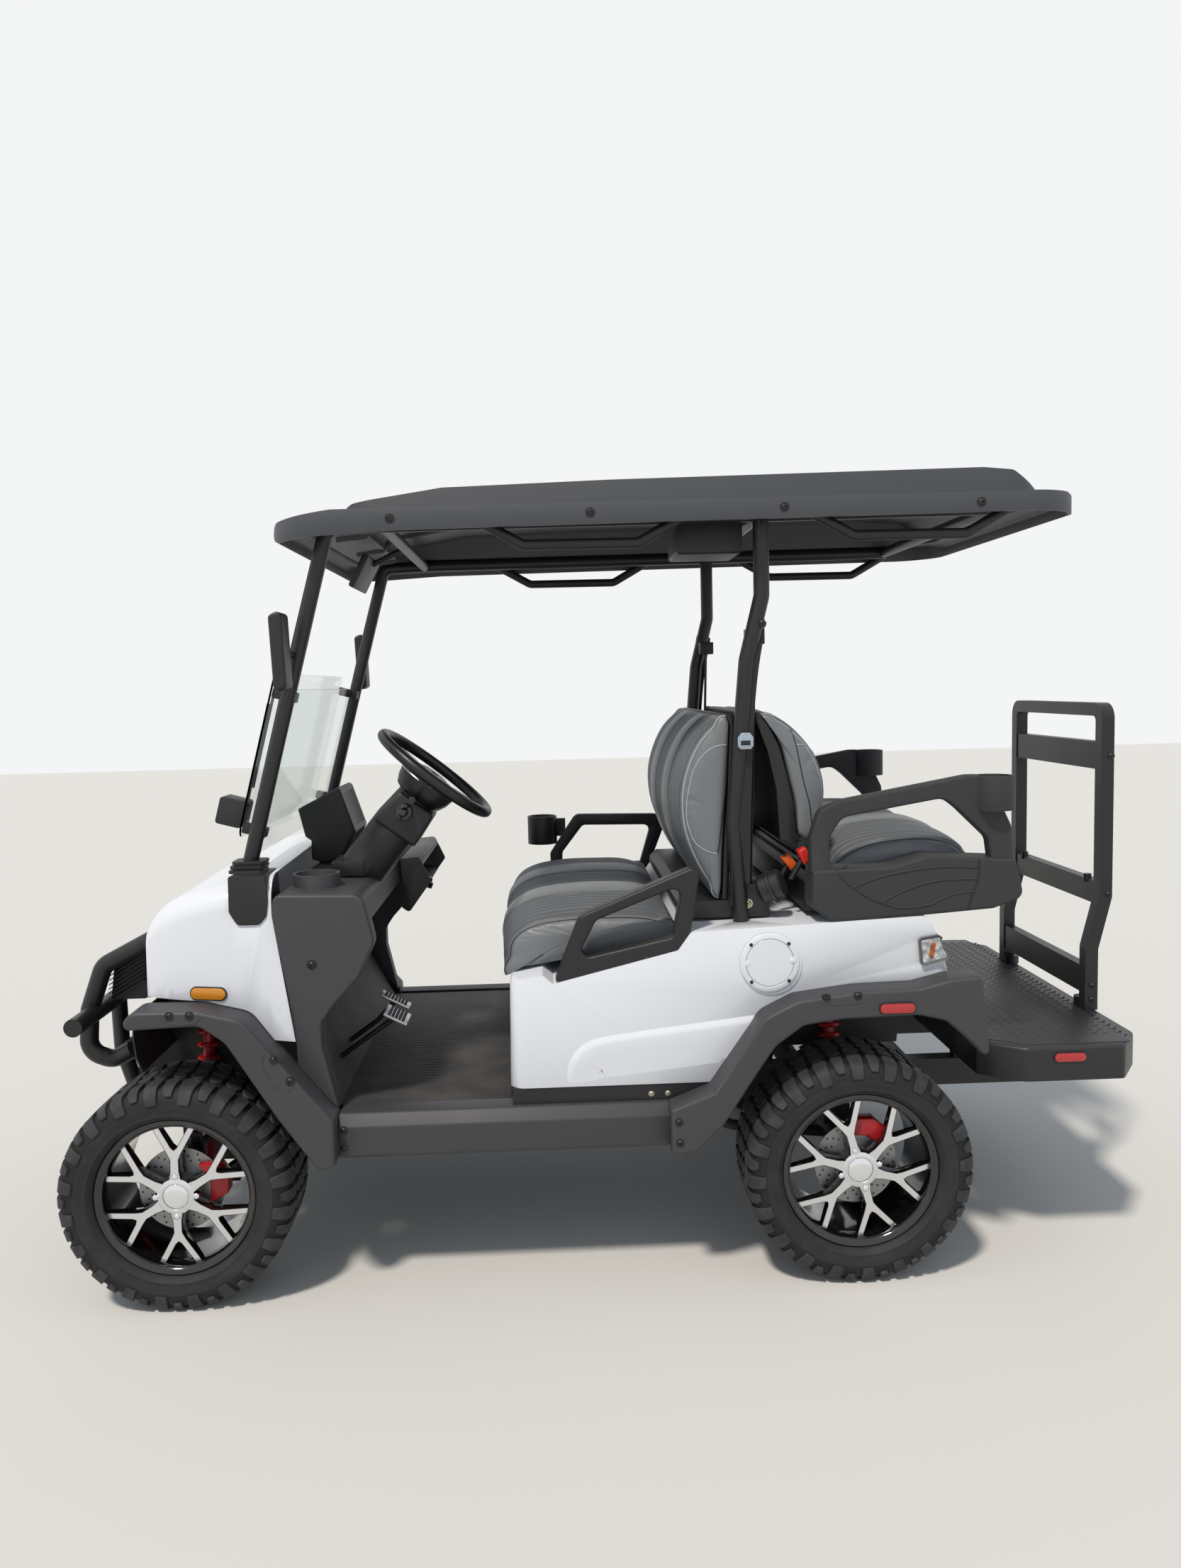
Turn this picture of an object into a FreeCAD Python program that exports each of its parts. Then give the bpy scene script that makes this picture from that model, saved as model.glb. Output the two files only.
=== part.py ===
import FreeCAD, Part
import math
import os
from FreeCAD import Vector

# Golf cart with four seats, in millimetres. +X is forward, +Y is the cart's left, +Z is up.
# Pieces are placed from the middle of the wheelbase, at their heights over the ground when the
# axles stand at AXLE_Z. The last lines set the cart on its own tyres, with its origin on the
# ground under the middle of its length.

# Wheels
WHEELBASE = 1690.0
AXLE_Z = 286.0
TYRE_R = 286.0
TYRE_HALF = 125.0
RIM_SEAT_R = 177.8
FRONT_X = WHEELBASE / 2
REAR_X = -WHEELBASE / 2

# Widths, measured from the middle of the cart
BODY_HALF = 590.0
ROOF_HALF = BODY_HALF - 5
POST_Y = BODY_HALF - 95
SEAT_HALF = BODY_HALF - 90
FLOOR_HALF = BODY_HALF - 54
WHEEL_Y = BODY_HALF - 40
KINGPIN_Y = WHEEL_Y - 80
GUARD_Y = BODY_HALF - 170

# Walls, fits and common steel sections
SHELL_T = 6.0
GAP = 0.3
FIT = 0.05
POST_R = 19.0
GUARD_R = 23.0
AXLE_R = 20.0


def spot(plane, u, v, w):
    """A point from two coordinates in a plane and one across it."""
    if plane == "xz":
        return Vector(u, w, v)
    if plane == "yz":
        return Vector(w, u, v)
    return Vector(u, v, w)


def bent_edges(points, radii, closed):
    """Straight runs through the points, each corner rounded by a tangent arc of its radius."""
    count = len(points)
    bends = []
    for i, point in enumerate(points):
        radius = radii[i]
        if radius == 0 or (not closed and i in (0, count - 1)):
            bends.append((point, None, point))
            continue
        back = (points[i - 1] - point).normalize()
        ahead = (points[(i + 1) % count] - point).normalize()
        half = back.getAngle(ahead) / 2
        reach = radius / math.tan(half)
        middle = (back + ahead).normalize()
        near = point + middle * (radius / math.sin(half) - radius)
        bends.append((point + back * reach, near, point + ahead * reach))
    edges = []
    for i, (start, near, end) in enumerate(bends):
        if near is not None:
            edges.append(Part.Arc(start, near, end).toShape())
        if closed or i < count - 1:
            following = bends[(i + 1) % count][0]
            if (end - following).Length > 1e-4:
                edges.append(Part.makeLine(end, following))
    return edges


def at(station, corners):
    """Corners whose first number is measured from a station along the cart."""
    return [(station + c[0],) + tuple(c[1:]) for c in corners]


def outline(plane, level, corners):
    """A closed wire in a plane. A corner is (u, v) or (u, v, radius)."""
    points = [spot(plane, c[0], c[1], level) for c in corners]
    radii = [c[2] if len(c) > 2 else 0 for c in corners]
    return Part.Wire(bent_edges(points, radii, True))


def slab(plane, low, high, corners, grow=0.0):
    """A prism of an outline, grown all round if asked, between two levels across its plane."""
    face = Part.Face(outline(plane, low, corners))
    if grow:
        face = face.makeOffset2D(grow)
    return face.extrude(spot(plane, 0, 0, high - low))


def box(x0, x1, y0, y1, z0, z1):
    corner = Vector(min(x0, x1), min(y0, y1), min(z0, z1))
    return Part.makeBox(abs(x1 - x0), abs(y1 - y0), abs(z1 - z0), corner)


def rod(start, end, radius):
    run = Vector(*end) - Vector(*start)
    return Part.makeCylinder(radius, run.Length, Vector(*start), run)


def tube(points, radius, bend):
    """A round bar along straight runs joined by tangent bends."""
    spots = [Vector(*p) for p in points]
    path = Part.Wire(bent_edges(spots, [bend] * len(spots), False))
    ring = Part.Wire(Part.makeCircle(radius, spots[0], spots[1] - spots[0]))
    return path.makePipe(Part.Face(ring))


def strip(points, bend, half_thick, y0, y1):
    """A flat bar along a bent line in the XZ plane, as wide as y0 to y1."""
    spots = [Vector(p[0], y0, p[1]) for p in points]
    path = Part.Wire(bent_edges(spots, [bend] * len(spots), False))
    run = (spots[1] - spots[0]).normalize()
    side = Vector(run.z, 0, -run.x) * half_thick
    edge = Vector(0, y1 - y0, 0)
    corners = [spots[0] + side, spots[0] - side, spots[0] - side + edge, spots[0] + side + edge]
    return path.makePipe(Part.Face(Part.makePolygon(corners + corners[:1])))


def rounded(shape, radius, picked):
    """The shape with a fillet on each edge whose middle the test picks."""
    edges = [e for e in shape.Edges if e.Length > 1 and picked(e.CenterOfMass)]
    return shape.makeFillet(radius, edges)


def mirrored(shape):
    """The same piece on the cart's other side."""
    return shape.mirror(Vector(0, 0, 0), Vector(0, 1, 0))


def both(shape):
    return Part.makeCompound([shape, mirrored(shape)])


def joined(shapes):
    first = shapes[0].multiFuse(shapes[1:]) if len(shapes) > 1 else shapes[0]
    return first.removeSplitter()


def turned(cx, cz, y, corners):
    """A body turned about an axle along Y, from corners (radius, offset) and their roundings."""
    points = [Vector(cx, y + c[1], cz + c[0]) for c in corners]
    radii = [c[2] if len(c) > 2 else 0 for c in corners]
    face = Part.Face(Part.Wire(bent_edges(points, radii, True)))
    return face.revolve(Vector(cx, y, cz), Vector(0, 1, 0), 360)


# Chassis: two box rails joined by cross members, with outriggers under the sills, a spring
# tower over each axle, legs for the rear step and a tray for the battery
RAIL_Y = 235.0
RAIL_W = 50.0
RAIL_H = 75.0
RAIL_Z = 395.0
RAIL_TOP = RAIL_Z + RAIL_H / 2
RAIL_LOW = RAIL_Z - RAIL_H / 2
RAIL_FRONT = FRONT_X + 140
RAIL_REAR = REAR_X - 675
SILL_Y = FLOOR_HALF + 12
CROSS_HALF = 20.0
TOWER_TOP = 665.0
TOWER_T = 12.0
TOWER_HALF = 45.0
TOWER_Y = RAIL_Y + 65
TRAY_T = 6.0
TRAY_X = (-440.0, 0.0)
STEP_TOP_Z = 570.0
STEP_LOW_Z = 482.0
STEP_WALL = SHELL_T
STEP_LEG_X = (RAIL_REAR + 20, RAIL_REAR + 280)


def chassis_frame():
    parts = []
    for y in (-RAIL_Y, RAIL_Y):
        parts.append(box(RAIL_REAR, RAIL_FRONT, y - RAIL_W / 2, y + RAIL_W / 2, RAIL_LOW, RAIL_TOP))
        for x in STEP_LEG_X:
            parts.append(box(x - CROSS_HALF, x + CROSS_HALF, y - CROSS_HALF, y + CROSS_HALF,
                             RAIL_Z, STEP_TOP_Z - STEP_WALL - GAP))
    for x in (RAIL_FRONT - 25, FRONT_X - 405, 0.0, REAR_X + 405, REAR_X - 240, RAIL_REAR + 25):
        parts.append(box(x - CROSS_HALF, x + CROSS_HALF, -RAIL_Y, RAIL_Y, RAIL_Z - 25, RAIL_Z + 25))
    for x in (FRONT_X - 405, 0.0, REAR_X + 445):
        parts.append(box(x - CROSS_HALF, x + CROSS_HALF, -SILL_Y, SILL_Y, RAIL_Z - 20, RAIL_Z + 20))
    for x in (FRONT_X, REAR_X):
        parts.append(box(x - CROSS_HALF, x + CROSS_HALF, -RAIL_Y, RAIL_Y, TOWER_TOP - 40, TOWER_TOP))
        for side in (-1, 1):
            y = side * RAIL_Y
            parts.append(box(x - TOWER_HALF, x + TOWER_HALF, y - 8, y + 8, RAIL_Z, TOWER_TOP))
            parts.append(box(x - TOWER_HALF, x + TOWER_HALF, y, side * (TOWER_Y + 40),
                             TOWER_TOP - TOWER_T, TOWER_TOP))
    parts.append(box(TRAY_X[0], TRAY_X[1], -RAIL_Y, RAIL_Y, RAIL_LOW, RAIL_LOW + TRAY_T))
    return joined(parts)


# Floor pan: a flat floor with a toe board up to the front bulkhead, a kick panel under the seat
# and a plinth along each side of the seat base. A rubber mat lies on the floor.
FLOOR_Z = 455.0
FLOOR_T = 8.0
MAT_T = 6.0
FLOOR_FRONT = FRONT_X - 375
FLOOR_REAR = 14.0
TOE_X = FRONT_X - 270
TOE_Z = 640.0
TOE_TOP_Z = TOE_Z + 90
ROCKER_TOP = 466.0
BODY_LOW = 508.0
PLINTH_OUT = BODY_HALF - 4
PLINTH_REAR = -480.0


def floor_pan():
    low = FLOOR_Z - FLOOR_T
    bend = [(FLOOR_REAR, low), (FLOOR_FRONT, low), (TOE_X, TOE_Z), (TOE_X, TOE_TOP_Z),
            (TOE_X - FLOOR_T, TOE_TOP_Z), (TOE_X - FLOOR_T, TOE_Z + 4), (FLOOR_FRONT - 4, FLOOR_Z),
            (FLOOR_REAR, FLOOR_Z)]
    pan = slab("xz", -FLOOR_HALF, FLOOR_HALF, bend)
    foot = ROCKER_TOP + GAP
    head = BODY_LOW - GAP
    edge = [(FLOOR_HALF - 12, low), (FLOOR_HALF, low), (FLOOR_HALF, foot), (PLINTH_OUT, foot),
            (PLINTH_OUT, head), (PLINTH_OUT - SHELL_T, head), (PLINTH_OUT - SHELL_T, foot + SHELL_T),
            (FLOOR_HALF - SHELL_T, foot + SHELL_T), (FLOOR_HALF - SHELL_T, FLOOR_Z), (FLOOR_HALF - 12, FLOOR_Z)]
    plinth = slab("yz", PLINTH_REAR, FLOOR_REAR + 4, edge)
    kick = box(FLOOR_REAR, FLOOR_REAR + SHELL_T, SHELL_T - FLOOR_HALF, FLOOR_HALF - SHELL_T, low, head)
    return joined([pan, plinth, mirrored(plinth), kick])


def floor_mat():
    half = FLOOR_HALF - 12
    low = FLOOR_Z + GAP
    rear = FLOOR_REAR + SHELL_T + 4
    bend = [(rear, low), (FLOOR_FRONT - 8, low), (TOE_X - 22, TOE_Z - 12), (TOE_X - 22 - MAT_T, TOE_Z - 10),
            (FLOOR_FRONT - 8 - MAT_T / 2, low + MAT_T), (rear, low + MAT_T)]
    return slab("xz", -half, half, bend)


# Rockers: moulded sill covers along each side, with a flat tread on top
ROCKER_FRONT = FRONT_X - 398
ROCKER_REAR = REAR_X + 473
ROCKER_LOW = 348.0
ROCKER_OUT = BODY_HALF + 32
ROCKER_T = SHELL_T


def rockers():
    out, top, low, t = ROCKER_OUT, ROCKER_TOP, ROCKER_LOW, ROCKER_T
    section = [(FLOOR_HALF + GAP, top), (out - 22, top, 14), (out, top - 30, 10), (out - 6, low + 14, 10),
               (out - 30, low, 6), (out - 60, low), (out - 60, low + t), (out - 33, low + t, 4),
               (out - 7 - t, low + 18, 5), (out - 2 - t, top - 34, 6), (out - 20 - t, top - t, 8),
               (FLOOR_HALF + GAP, top - t)]
    return both(slab("yz", ROCKER_REAR, ROCKER_FRONT, section))


# Front body: one white moulding of a hood between two fenders, open below and behind, with a
# lamp each side of its mouth
NOSE_X = FRONT_X + 77
SHELL_LOW = 640.0
COWL_EDGE = at(FRONT_X, [(-191, 728, 60), (-246, 653), (-297, 648), (-251, 962), (-251, 1200)])
# Columns: from the front axle, in from the body's width at the base and at the shoulder, shoulder
# height, shoulder radius
COWL_SECTIONS = [
    (-305, -2, 6, 1068, 60),
    (-145, 2, 14, 1040, 62),
    (-15, 16, 32, 1008, 62),
    (42, 32, 50, 975, 58),
    (77, 48, 66, 930, 48),
]
CROWN = 10.0
LAMP_OUT = GUARD_Y - GUARD_R - 12
LAMP_LONG = 195.0
LAMP_IN = LAMP_OUT - LAMP_LONG
MOUTH_HALF = LAMP_IN - 20


def cowl_section(row, station, inset):
    _, base_in, top_in, top, radius = row
    base = BODY_HALF - base_in - inset
    shoulder = BODY_HALF - top_in - inset
    low = SHELL_LOW - inset * 3
    corners = [(-base, low), (-shoulder, top - inset, radius), (0, top - inset + CROWN, 3000),
               (shoulder, top - inset, radius), (base, low)]
    return outline("yz", station, corners)


def pillar_cover(side, grow=0.0):
    """Tapered cover round the foot of a front pillar, from the hood's top down the fender."""
    corners = at(FRONT_X, [(-150, 1064, 6), (-239, 1062, 6), (-243, 1000, 30), (-238, 962, 18),
                           (-220, 942, 14), (-168, 942, 14), (-148, 975, 20)])
    inner, outer = sorted((side * (POST_Y - 42), side * (BODY_HALF - 6)))
    return slab("xz", inner - grow, outer + grow, corners, grow)


def head_lamp(side, grow=0.0):
    """Slanted lamp block in the nose between the brush guard's hoop and the middle."""
    corners = [(LAMP_IN, 800, 12), (LAMP_OUT, 790, 12), (LAMP_OUT, 862, 12), (LAMP_IN + 20, 872, 12)]
    lamp = slab("yz", NOSE_X - 40, NOSE_X + 4, corners, grow)
    return lamp if side > 0 else mirrored(lamp)


def front_body():
    outer = Part.makeLoft([cowl_section(row, FRONT_X + row[0], 0) for row in COWL_SECTIONS], True)
    stations = [FRONT_X + row[0] for row in COWL_SECTIONS]
    stations[0] -= 20
    stations[-1] -= SHELL_T
    inner = Part.makeLoft([cowl_section(row, x, SHELL_T) for row, x in zip(COWL_SECTIONS, stations)], True)
    shell = outer.cut(inner)
    under = [(NOSE_X + 40, 500), (NOSE_X + 40, 760)] + at(FRONT_X, [(61, 760), (-81, 755, 40)]) + COWL_EDGE
    under += at(FRONT_X, [(-445, 1200), (-445, 500)])
    shell = shell.cut(slab("xz", -BODY_HALF - 60, BODY_HALF + 60, under))
    half = MOUTH_HALF
    mouth = [(-half, 740, 20), (half, 740, 20), (half - 30, 872, 20), (30 - half, 872, 20)]
    shell = shell.cut(slab("yz", NOSE_X - 30, NOSE_X + 30, mouth))
    for side in (-1, 1):
        shell = shell.cut(tube(guard_hoop(side * GUARD_Y), GUARD_R + 1, GUARD_BEND))
        shell = shell.cut(pillar_cover(side, GAP))
        shell = shell.cut(head_lamp(side, GAP))
    return shell


# Front flares: moulded arches that stand out over the front wheels and run down to the sill
FLARE_T = 5.0
FLARE_ROUND = 9.0
FRONT_FLARE_IN = BODY_HALF - 14
FRONT_FLARE_OUT = BODY_HALF + 78
REAR_FLARE_OUT = BODY_HALF + 82


def flare(band, inner, outer):
    """A moulded arch: a closed band with a soft outer edge, hollowed out from its inner side."""
    face = Part.Face(outline("xz", inner, band))
    body = face.extrude(Vector(0, outer - inner, 0))
    body = rounded(body, FLARE_ROUND, lambda middle: middle.y > outer - 0.1)
    return body.cut(face.makeOffset2D(-FLARE_T).extrude(Vector(0, outer - inner - FLARE_T, 0)))


def front_flares():
    band = at(FRONT_X, [(112, 710, 16), (75, 756, 40), (-81, 753, 40), (-191, 726, 60), (-246, 651, 60),
                        (-396, 470, 16), (-396, 350, 16), (-352, 350, 20), (-261, 481, 60), (-145, 672, 60),
                        (-85, 716, 40)])
    return both(flare(band, FRONT_FLARE_IN, FRONT_FLARE_OUT))


# Dash: black moulding behind the cowl, down to the sill on each side, with cup holders on top,
# and a knee panel with an open tray on the passenger's half
DASH_IN = FLOOR_HALF + 1
DASH_TOP = 1018.0
CUP_X = FRONT_X - 338
CUP_Y = BODY_HALF - 140
CUP_R = 52.0
CUP_WALL = 8.0
CUP_DEPTH = 75.0
CUP_RIM_Z = DASH_TOP + 28
KNEE_FRONT_X = FRONT_X - 484


def dash():
    side = at(FRONT_X, [(-253, 960, 6), (-256, 1016, 20), (-473, 1010, 30), (-499, 890, 40), (-458, 804, 30),
                        (-390, 731, 30), (-361, 690, 30), (-361, 629, 30), (-392, 490, 10), (-394, 475, 0),
                        (-300, 588, 0), (-299, 648, 0)])
    cheek = slab("xz", DASH_IN, BODY_HALF, side)
    cheek = rounded(cheek, 8, lambda middle: middle.y > BODY_HALF - 0.1 and middle.x < FRONT_X - 340
                    and middle.z > SHELL_LOW)
    top = at(FRONT_X, [(-253, 975), (-256, 1016, 20), (-473, 1010, 30), (-483, 930, 8), (-465, 930, 6),
                       (-445, 985, 20), (-285, 985, 10), (-270, 960)])
    body = joined([cheek, mirrored(cheek), slab("xz", -DASH_IN, DASH_IN, top)])
    for y in (-CUP_Y, CUP_Y):
        floor = DASH_TOP - CUP_DEPTH
        body = body.fuse(rod((CUP_X, y, floor), (CUP_X, y, CUP_RIM_Z), CUP_R + CUP_WALL))
        body = body.cut(rod((CUP_X, y, floor + CUP_WALL), (CUP_X, y, CUP_RIM_Z + 20), CUP_R))
    opening = Part.makeCylinder(COLUMN_R + 1, 360, steer_point(-380), steer_axis())
    return body.cut(opening).removeSplitter()


def knee_panel():
    section = at(KNEE_FRONT_X, [(0, 1000), (-57, 1005, 15), (-91, 930, 10), (-21, 835, 10), (0, 850)])
    tray = at(KNEE_FRONT_X, [(-21, 980), (-121, 980), (-121, 905), (-21, 905)])
    panel = slab("xz", 2 - DASH_IN, -60, section)
    return panel.cut(slab("xz", 8 - DASH_IN, -66, tray))


# Rear body: white seat base between the sills, running back into the rear fenders, with a round
# charge cap on the left
SEAT_BASE_FRONT = 22.0
ARMREST_SEAT = [(-65, 794, 5), (-92, 771, 5), (-404, 845, 10), (-438, 891, 15)]
REAR_ARCH = at(REAR_X, [(-140, 751, 30), (7, 748, 30), (159, 730, 50), (241, 690, 60)])
REAR_TAIL = at(REAR_X, [(-190, 914, 30), (-243, 765)])
TAIL_LAMP = at(REAR_X, [(-161, 858, 10), (-217, 866, 12), (-243, 806, 12), (-167, 787, 10)])
TAIL_LAMP_IN = BODY_HALF - 78
CAP_X = -638.0
CAP_Z = 802.0
CAP_R = 74.0
CAP_PROUD = 4.0


def rear_body():
    side = [(SEAT_BASE_FRONT, BODY_LOW), (16, 781, 8)] + ARMREST_SEAT + [(-716, 901, 8)] + REAR_TAIL
    side += REAR_ARCH + [(PLINTH_REAR + 2, BODY_LOW)]
    outer = slab("xz", -BODY_HALF, BODY_HALF, side)
    plan = [(SEAT_BASE_FRONT + 1, -BODY_HALF, 40), (SEAT_BASE_FRONT + 1, BODY_HALF, 40),
            (REAR_X - 250, BODY_HALF, 40), (REAR_X - 250, -BODY_HALF, 40)]
    outer = outer.common(slab("xy", BODY_LOW - 10, 1000, plan))
    core = [(SEAT_BASE_FRONT - SHELL_T, BODY_LOW - 20), (10, 775, 8), (-64, 787, 5), (-90, 764, 5),
            (-401, 838, 10), (-435, 884, 15), (-715, 894, 8)]
    core += at(REAR_X, [(-185, 907, 20), (-255, 700)]) + [(PLINTH_REAR + 2, BODY_LOW - 60)]
    inner = slab("xz", SHELL_T - BODY_HALF, BODY_HALF - SHELL_T, core)
    front, half = SEAT_BASE_FRONT + 1 - SHELL_T, BODY_HALF - SHELL_T
    plan = [(front, -half, 34), (front, half, 34), (REAR_X - 300, half), (REAR_X - 300, -half)]
    shell = outer.cut(inner.common(slab("xy", BODY_LOW - 80, 1000, plan)))
    for side_y in (-1, 1):
        lamp = slab("xz", side_y * (TAIL_LAMP_IN - 7), side_y * (BODY_HALF + 30), TAIL_LAMP, 0.5)
        shell = shell.cut(lamp)
        shell = shell.cut(tube(post_path(side_y * POST_Y), POST_R + 2, POST_BEND))
    cap = rod((CAP_X, BODY_HALF - 1, CAP_Z), (CAP_X, BODY_HALF + CAP_PROUD, CAP_Z), CAP_R)
    return joined([shell, cap])


def rear_flares():
    band = [(ROCKER_REAR, 467), (PLINTH_REAR + 2, BODY_LOW)] + REAR_ARCH[::-1]
    band += at(REAR_X, [(-217, 770, 20), (-298, 777, 14), (-306, 674, 30), (-318, 556, 12), (-270, 610, 30),
                        (-205, 668, 40), (-137, 684, 40), (50, 680, 40), (144, 668, 40), (213, 619, 50),
                        (268, 540, 40), (343, 426, 30), (415, 358, 16)]) + [(ROCKER_REAR, 356)]
    return both(flare(band, BODY_HALF + GAP, REAR_FLARE_OUT))


# Brush guard of bent steel tube, with a slatted grille between its hoops and the nose
GUARD_BEND = 45.0
GUARD_CROSS = (FRONT_X + 256, 692.0)
GUARD_STAY_Y = RAIL_Y + 10
SLATS = 8
SLAT_HALF = GUARD_Y - GUARD_R - 5
SLAT_T = 3.0
SLAT_START = (FRONT_X + 124, 852.0)
SLAT_RUN = (98.0, -58.0)
SLAT_PITCH = 12.0
SLAT_LEAN = 1.5
RIB_Y = LAMP_IN - 10
END_RIB_Y = SLAT_HALF - 92


def guard_hoop(y):
    return [(FRONT_X + 50, y, 905), (FRONT_X + 226, y, 815), (FRONT_X + 268, y, 700), (FRONT_X + 277, y, 590),
            (FRONT_X + 215, y, 565), (FRONT_X + 165, y, 590)]


def bumper():
    x, z = GUARD_CROSS
    parts = [rod((x, -BODY_HALF + 30, z), (x, BODY_HALF - 30, z), GUARD_R)]
    parts.append(rod((FRONT_X + 195, -GUARD_Y, 578), (FRONT_X + 195, GUARD_Y, 578), GUARD_R - 4))
    for side in (-1, 1):
        parts.append(tube(guard_hoop(side * GUARD_Y), GUARD_R, GUARD_BEND))
        y = side * GUARD_STAY_Y
        stay = [(x + 4, y, z), (x + 2, y, 540), (FRONT_X + 215, y, RAIL_Z), (RAIL_FRONT + GAP, y, RAIL_Z)]
        parts.append(tube(stay, GUARD_R - 2, 60))
    return joined(parts)


def grille():
    """Louvres that slope forward under the hood's edge, carried on upright ribs."""
    x0, z0 = SLAT_START
    run = Vector(SLAT_RUN[0], 0, SLAT_RUN[1])
    parts = []
    for i in range(SLATS):
        x = x0 + SLAT_LEAN * i
        z = z0 - SLAT_PITCH * i
        slat = [(x, z), (x + run.x, z + run.z), (x + run.x, z + run.z - SLAT_T), (x, z - SLAT_T)]
        parts.append(slab("xz", -SLAT_HALF, SLAT_HALF, slat))
    drop = SLAT_PITCH * (SLATS - 1) + SLAT_T
    rib = [(x0 + 6, z0 - 4), (x0 + run.x - 8, z0 + run.z + 4), (x0 + run.x, z0 + run.z - drop),
           (x0 + 14, z0 - drop)]
    for y in (-END_RIB_Y, -RIB_Y, 0.0, RIB_Y, END_RIB_Y):
        parts.append(slab("xz", y - 4, y + 4, rib))
    low = z0 - drop + 10
    back = [(NOSE_X + GAP, z0 - 30), (x0 + 16, z0 - 22), (x0 + 16, low), (NOSE_X + GAP, low)]
    for y in (-RIB_Y, RIB_Y):
        parts.append(slab("xz", y - 4, y + 4, back))
    return joined(parts)


def head_lamps():
    return Part.makeCompound([head_lamp(side) for side in (-1, 1)])


def tail_lamps():
    return both(slab("xz", TAIL_LAMP_IN, BODY_HALF + 10, TAIL_LAMP))


# Roof: moulded skin with a turned-down lip, a raised middle with a ridge, and an open underside
ROOF_FRONT = FRONT_X - 270
ROOF_REAR = REAR_X - 595
ROOF_T = 8.0
ROOF_TOP = 2032.0
LIP_LOW_FRONT = 1871.0
LIP_LOW = 1890.0
LIP_LOW_REAR = 1908.0
DOME_HALF = ROOF_HALF - 115
ROOF_EDGE = [(FRONT_X - 436, 1940.0), (REAR_X - 548, 1956.0)]


def roof_z(x, drop=0.0):
    """Height of the roof's edge along the cart, less a drop."""
    (x0, z0), (x1, z1) = ROOF_EDGE
    return z0 + (z1 - z0) * (x - x0) / (x1 - x0) - drop


def rectangle(x0, x1, half, radius):
    return [(x0, -half, radius), (x1, -half, radius), (x1, half, radius), (x0, half, radius)]


def roof_layer(t, low):
    """The roof's outer form, or its underside at a wall t in from it."""
    (x0, z0), (x1, z1) = ROOF_EDGE
    front, rear = ROOF_FRONT - t, ROOF_REAR + t
    half = ROOF_HALF - t
    if low is None:
        foot = [(rear, LIP_LOW_REAR, 8), (FRONT_X - 588, LIP_LOW - 1), (front, LIP_LOW_FRONT, 20)]
    else:
        foot = [(rear, low), (front, low)]
    lip = slab("xz", -half, half, foot + [(front - 15, 1920 - t, 20), (x0, z0 - t, 60), (x1, z1 - t, 30),
                                          (rear, ROOF_TOP - 86 - t, 8)])
    lip = lip.common(slab("xy", 1700, 2200, rectangle(rear, front, half, 150 - t)))
    dome_half = DOME_HALF - t
    dome_front, dome_rear = FRONT_X - 405 - t, REAR_X - 547 + t
    ridge = at(FRONT_X, [(-464 - t / 2, 1972 - t, 40), (-693, 2006 - t, 100), (-1114, 2018 - t)])
    ridge += at(REAR_X, [(-367, ROOF_TOP - t, 40), (-445 + t / 2, 2025 - t, 30), (-540 + t, 1965 - t / 2, 20)])
    dome = slab("xz", -dome_half, dome_half, [(dome_front, low or 1925)] + ridge + [(dome_rear, low or 1930)])
    dome = dome.common(slab("xy", 1700, 2200, rectangle(dome_rear, dome_front, dome_half, 120 - t)))
    return lip, dome


def roof():
    lip, dome = roof_layer(0.0, None)
    under_lip, under_dome = roof_layer(ROOF_T, 1750)
    skin = lip.fuse(dome)
    return skin.cut(under_lip).cut(under_dome).removeSplitter()


# Roof frame: front pillars that sweep up into the roof rails, rear posts and cross tubes, welded
RAIL_DROP = ROOF_T + GAP + POST_R
PILLAR_FOOT = (FRONT_X - 177, 1060.0)
PILLAR_HEAD = (FRONT_X - 329, 1621.0)
PILLAR_BEND = 30.0
POST_BEND = 60.0
POST_TOP_X = -640.0


def pillar_path(y):
    head_x = FRONT_X - 410
    rail_x = FRONT_X - 545
    rear_x = REAR_X - 405
    return [(FRONT_X - 160, y, 950), (PILLAR_FOOT[0], y, PILLAR_FOOT[1]), (PILLAR_HEAD[0], y, PILLAR_HEAD[1]),
            (head_x, y, roof_z(head_x, RAIL_DROP) - 4), (rail_x, y, roof_z(rail_x, RAIL_DROP)),
            (rear_x, y, roof_z(rear_x, RAIL_DROP))]


def post_path(y):
    return [(-580, y, 850), (-562, y, 1150), (-600, y, 1560), (POST_TOP_X, y, 1720),
            (POST_TOP_X, y, roof_z(POST_TOP_X, RAIL_DROP))]


def roof_frame():
    parts = []
    for y in (-POST_Y, POST_Y):
        parts.append(tube(pillar_path(y), POST_R, PILLAR_BEND))
        parts.append(tube(post_path(y), POST_R + 1, POST_BEND))
    for x in (FRONT_X - 545, POST_TOP_X, REAR_X - 395):
        z = roof_z(x, RAIL_DROP)
        parts.append(rod((x, -POST_Y, z), (x, POST_Y, z), POST_R - 3))
    return joined(parts)


def pillar_boots():
    """Covers round the feet of the front pillars, each under a ribbed rubber boot."""
    parts = []
    for side in (-1, 1):
        y = side * POST_Y
        stack = [pillar_cover(side)]
        for z, reach in ((1062, 40), (1069, 34), (1073, 39), (1080, 33), (1084, 37)):
            x = PILLAR_FOOT[0] - (z - PILLAR_FOOT[1]) * 0.28
            stack.append(slab("xy", z, z + 7, [(x - reach - 4, y - reach, 14), (x + reach + 2, y - reach, 14),
                                               (x + reach + 2, y + reach, 14), (x - reach - 4, y + reach, 14)]))
        parts.append(joined(stack).cut(tube(pillar_path(y), POST_R + GAP, PILLAR_BEND)))
    return Part.makeCompound(parts)


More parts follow.
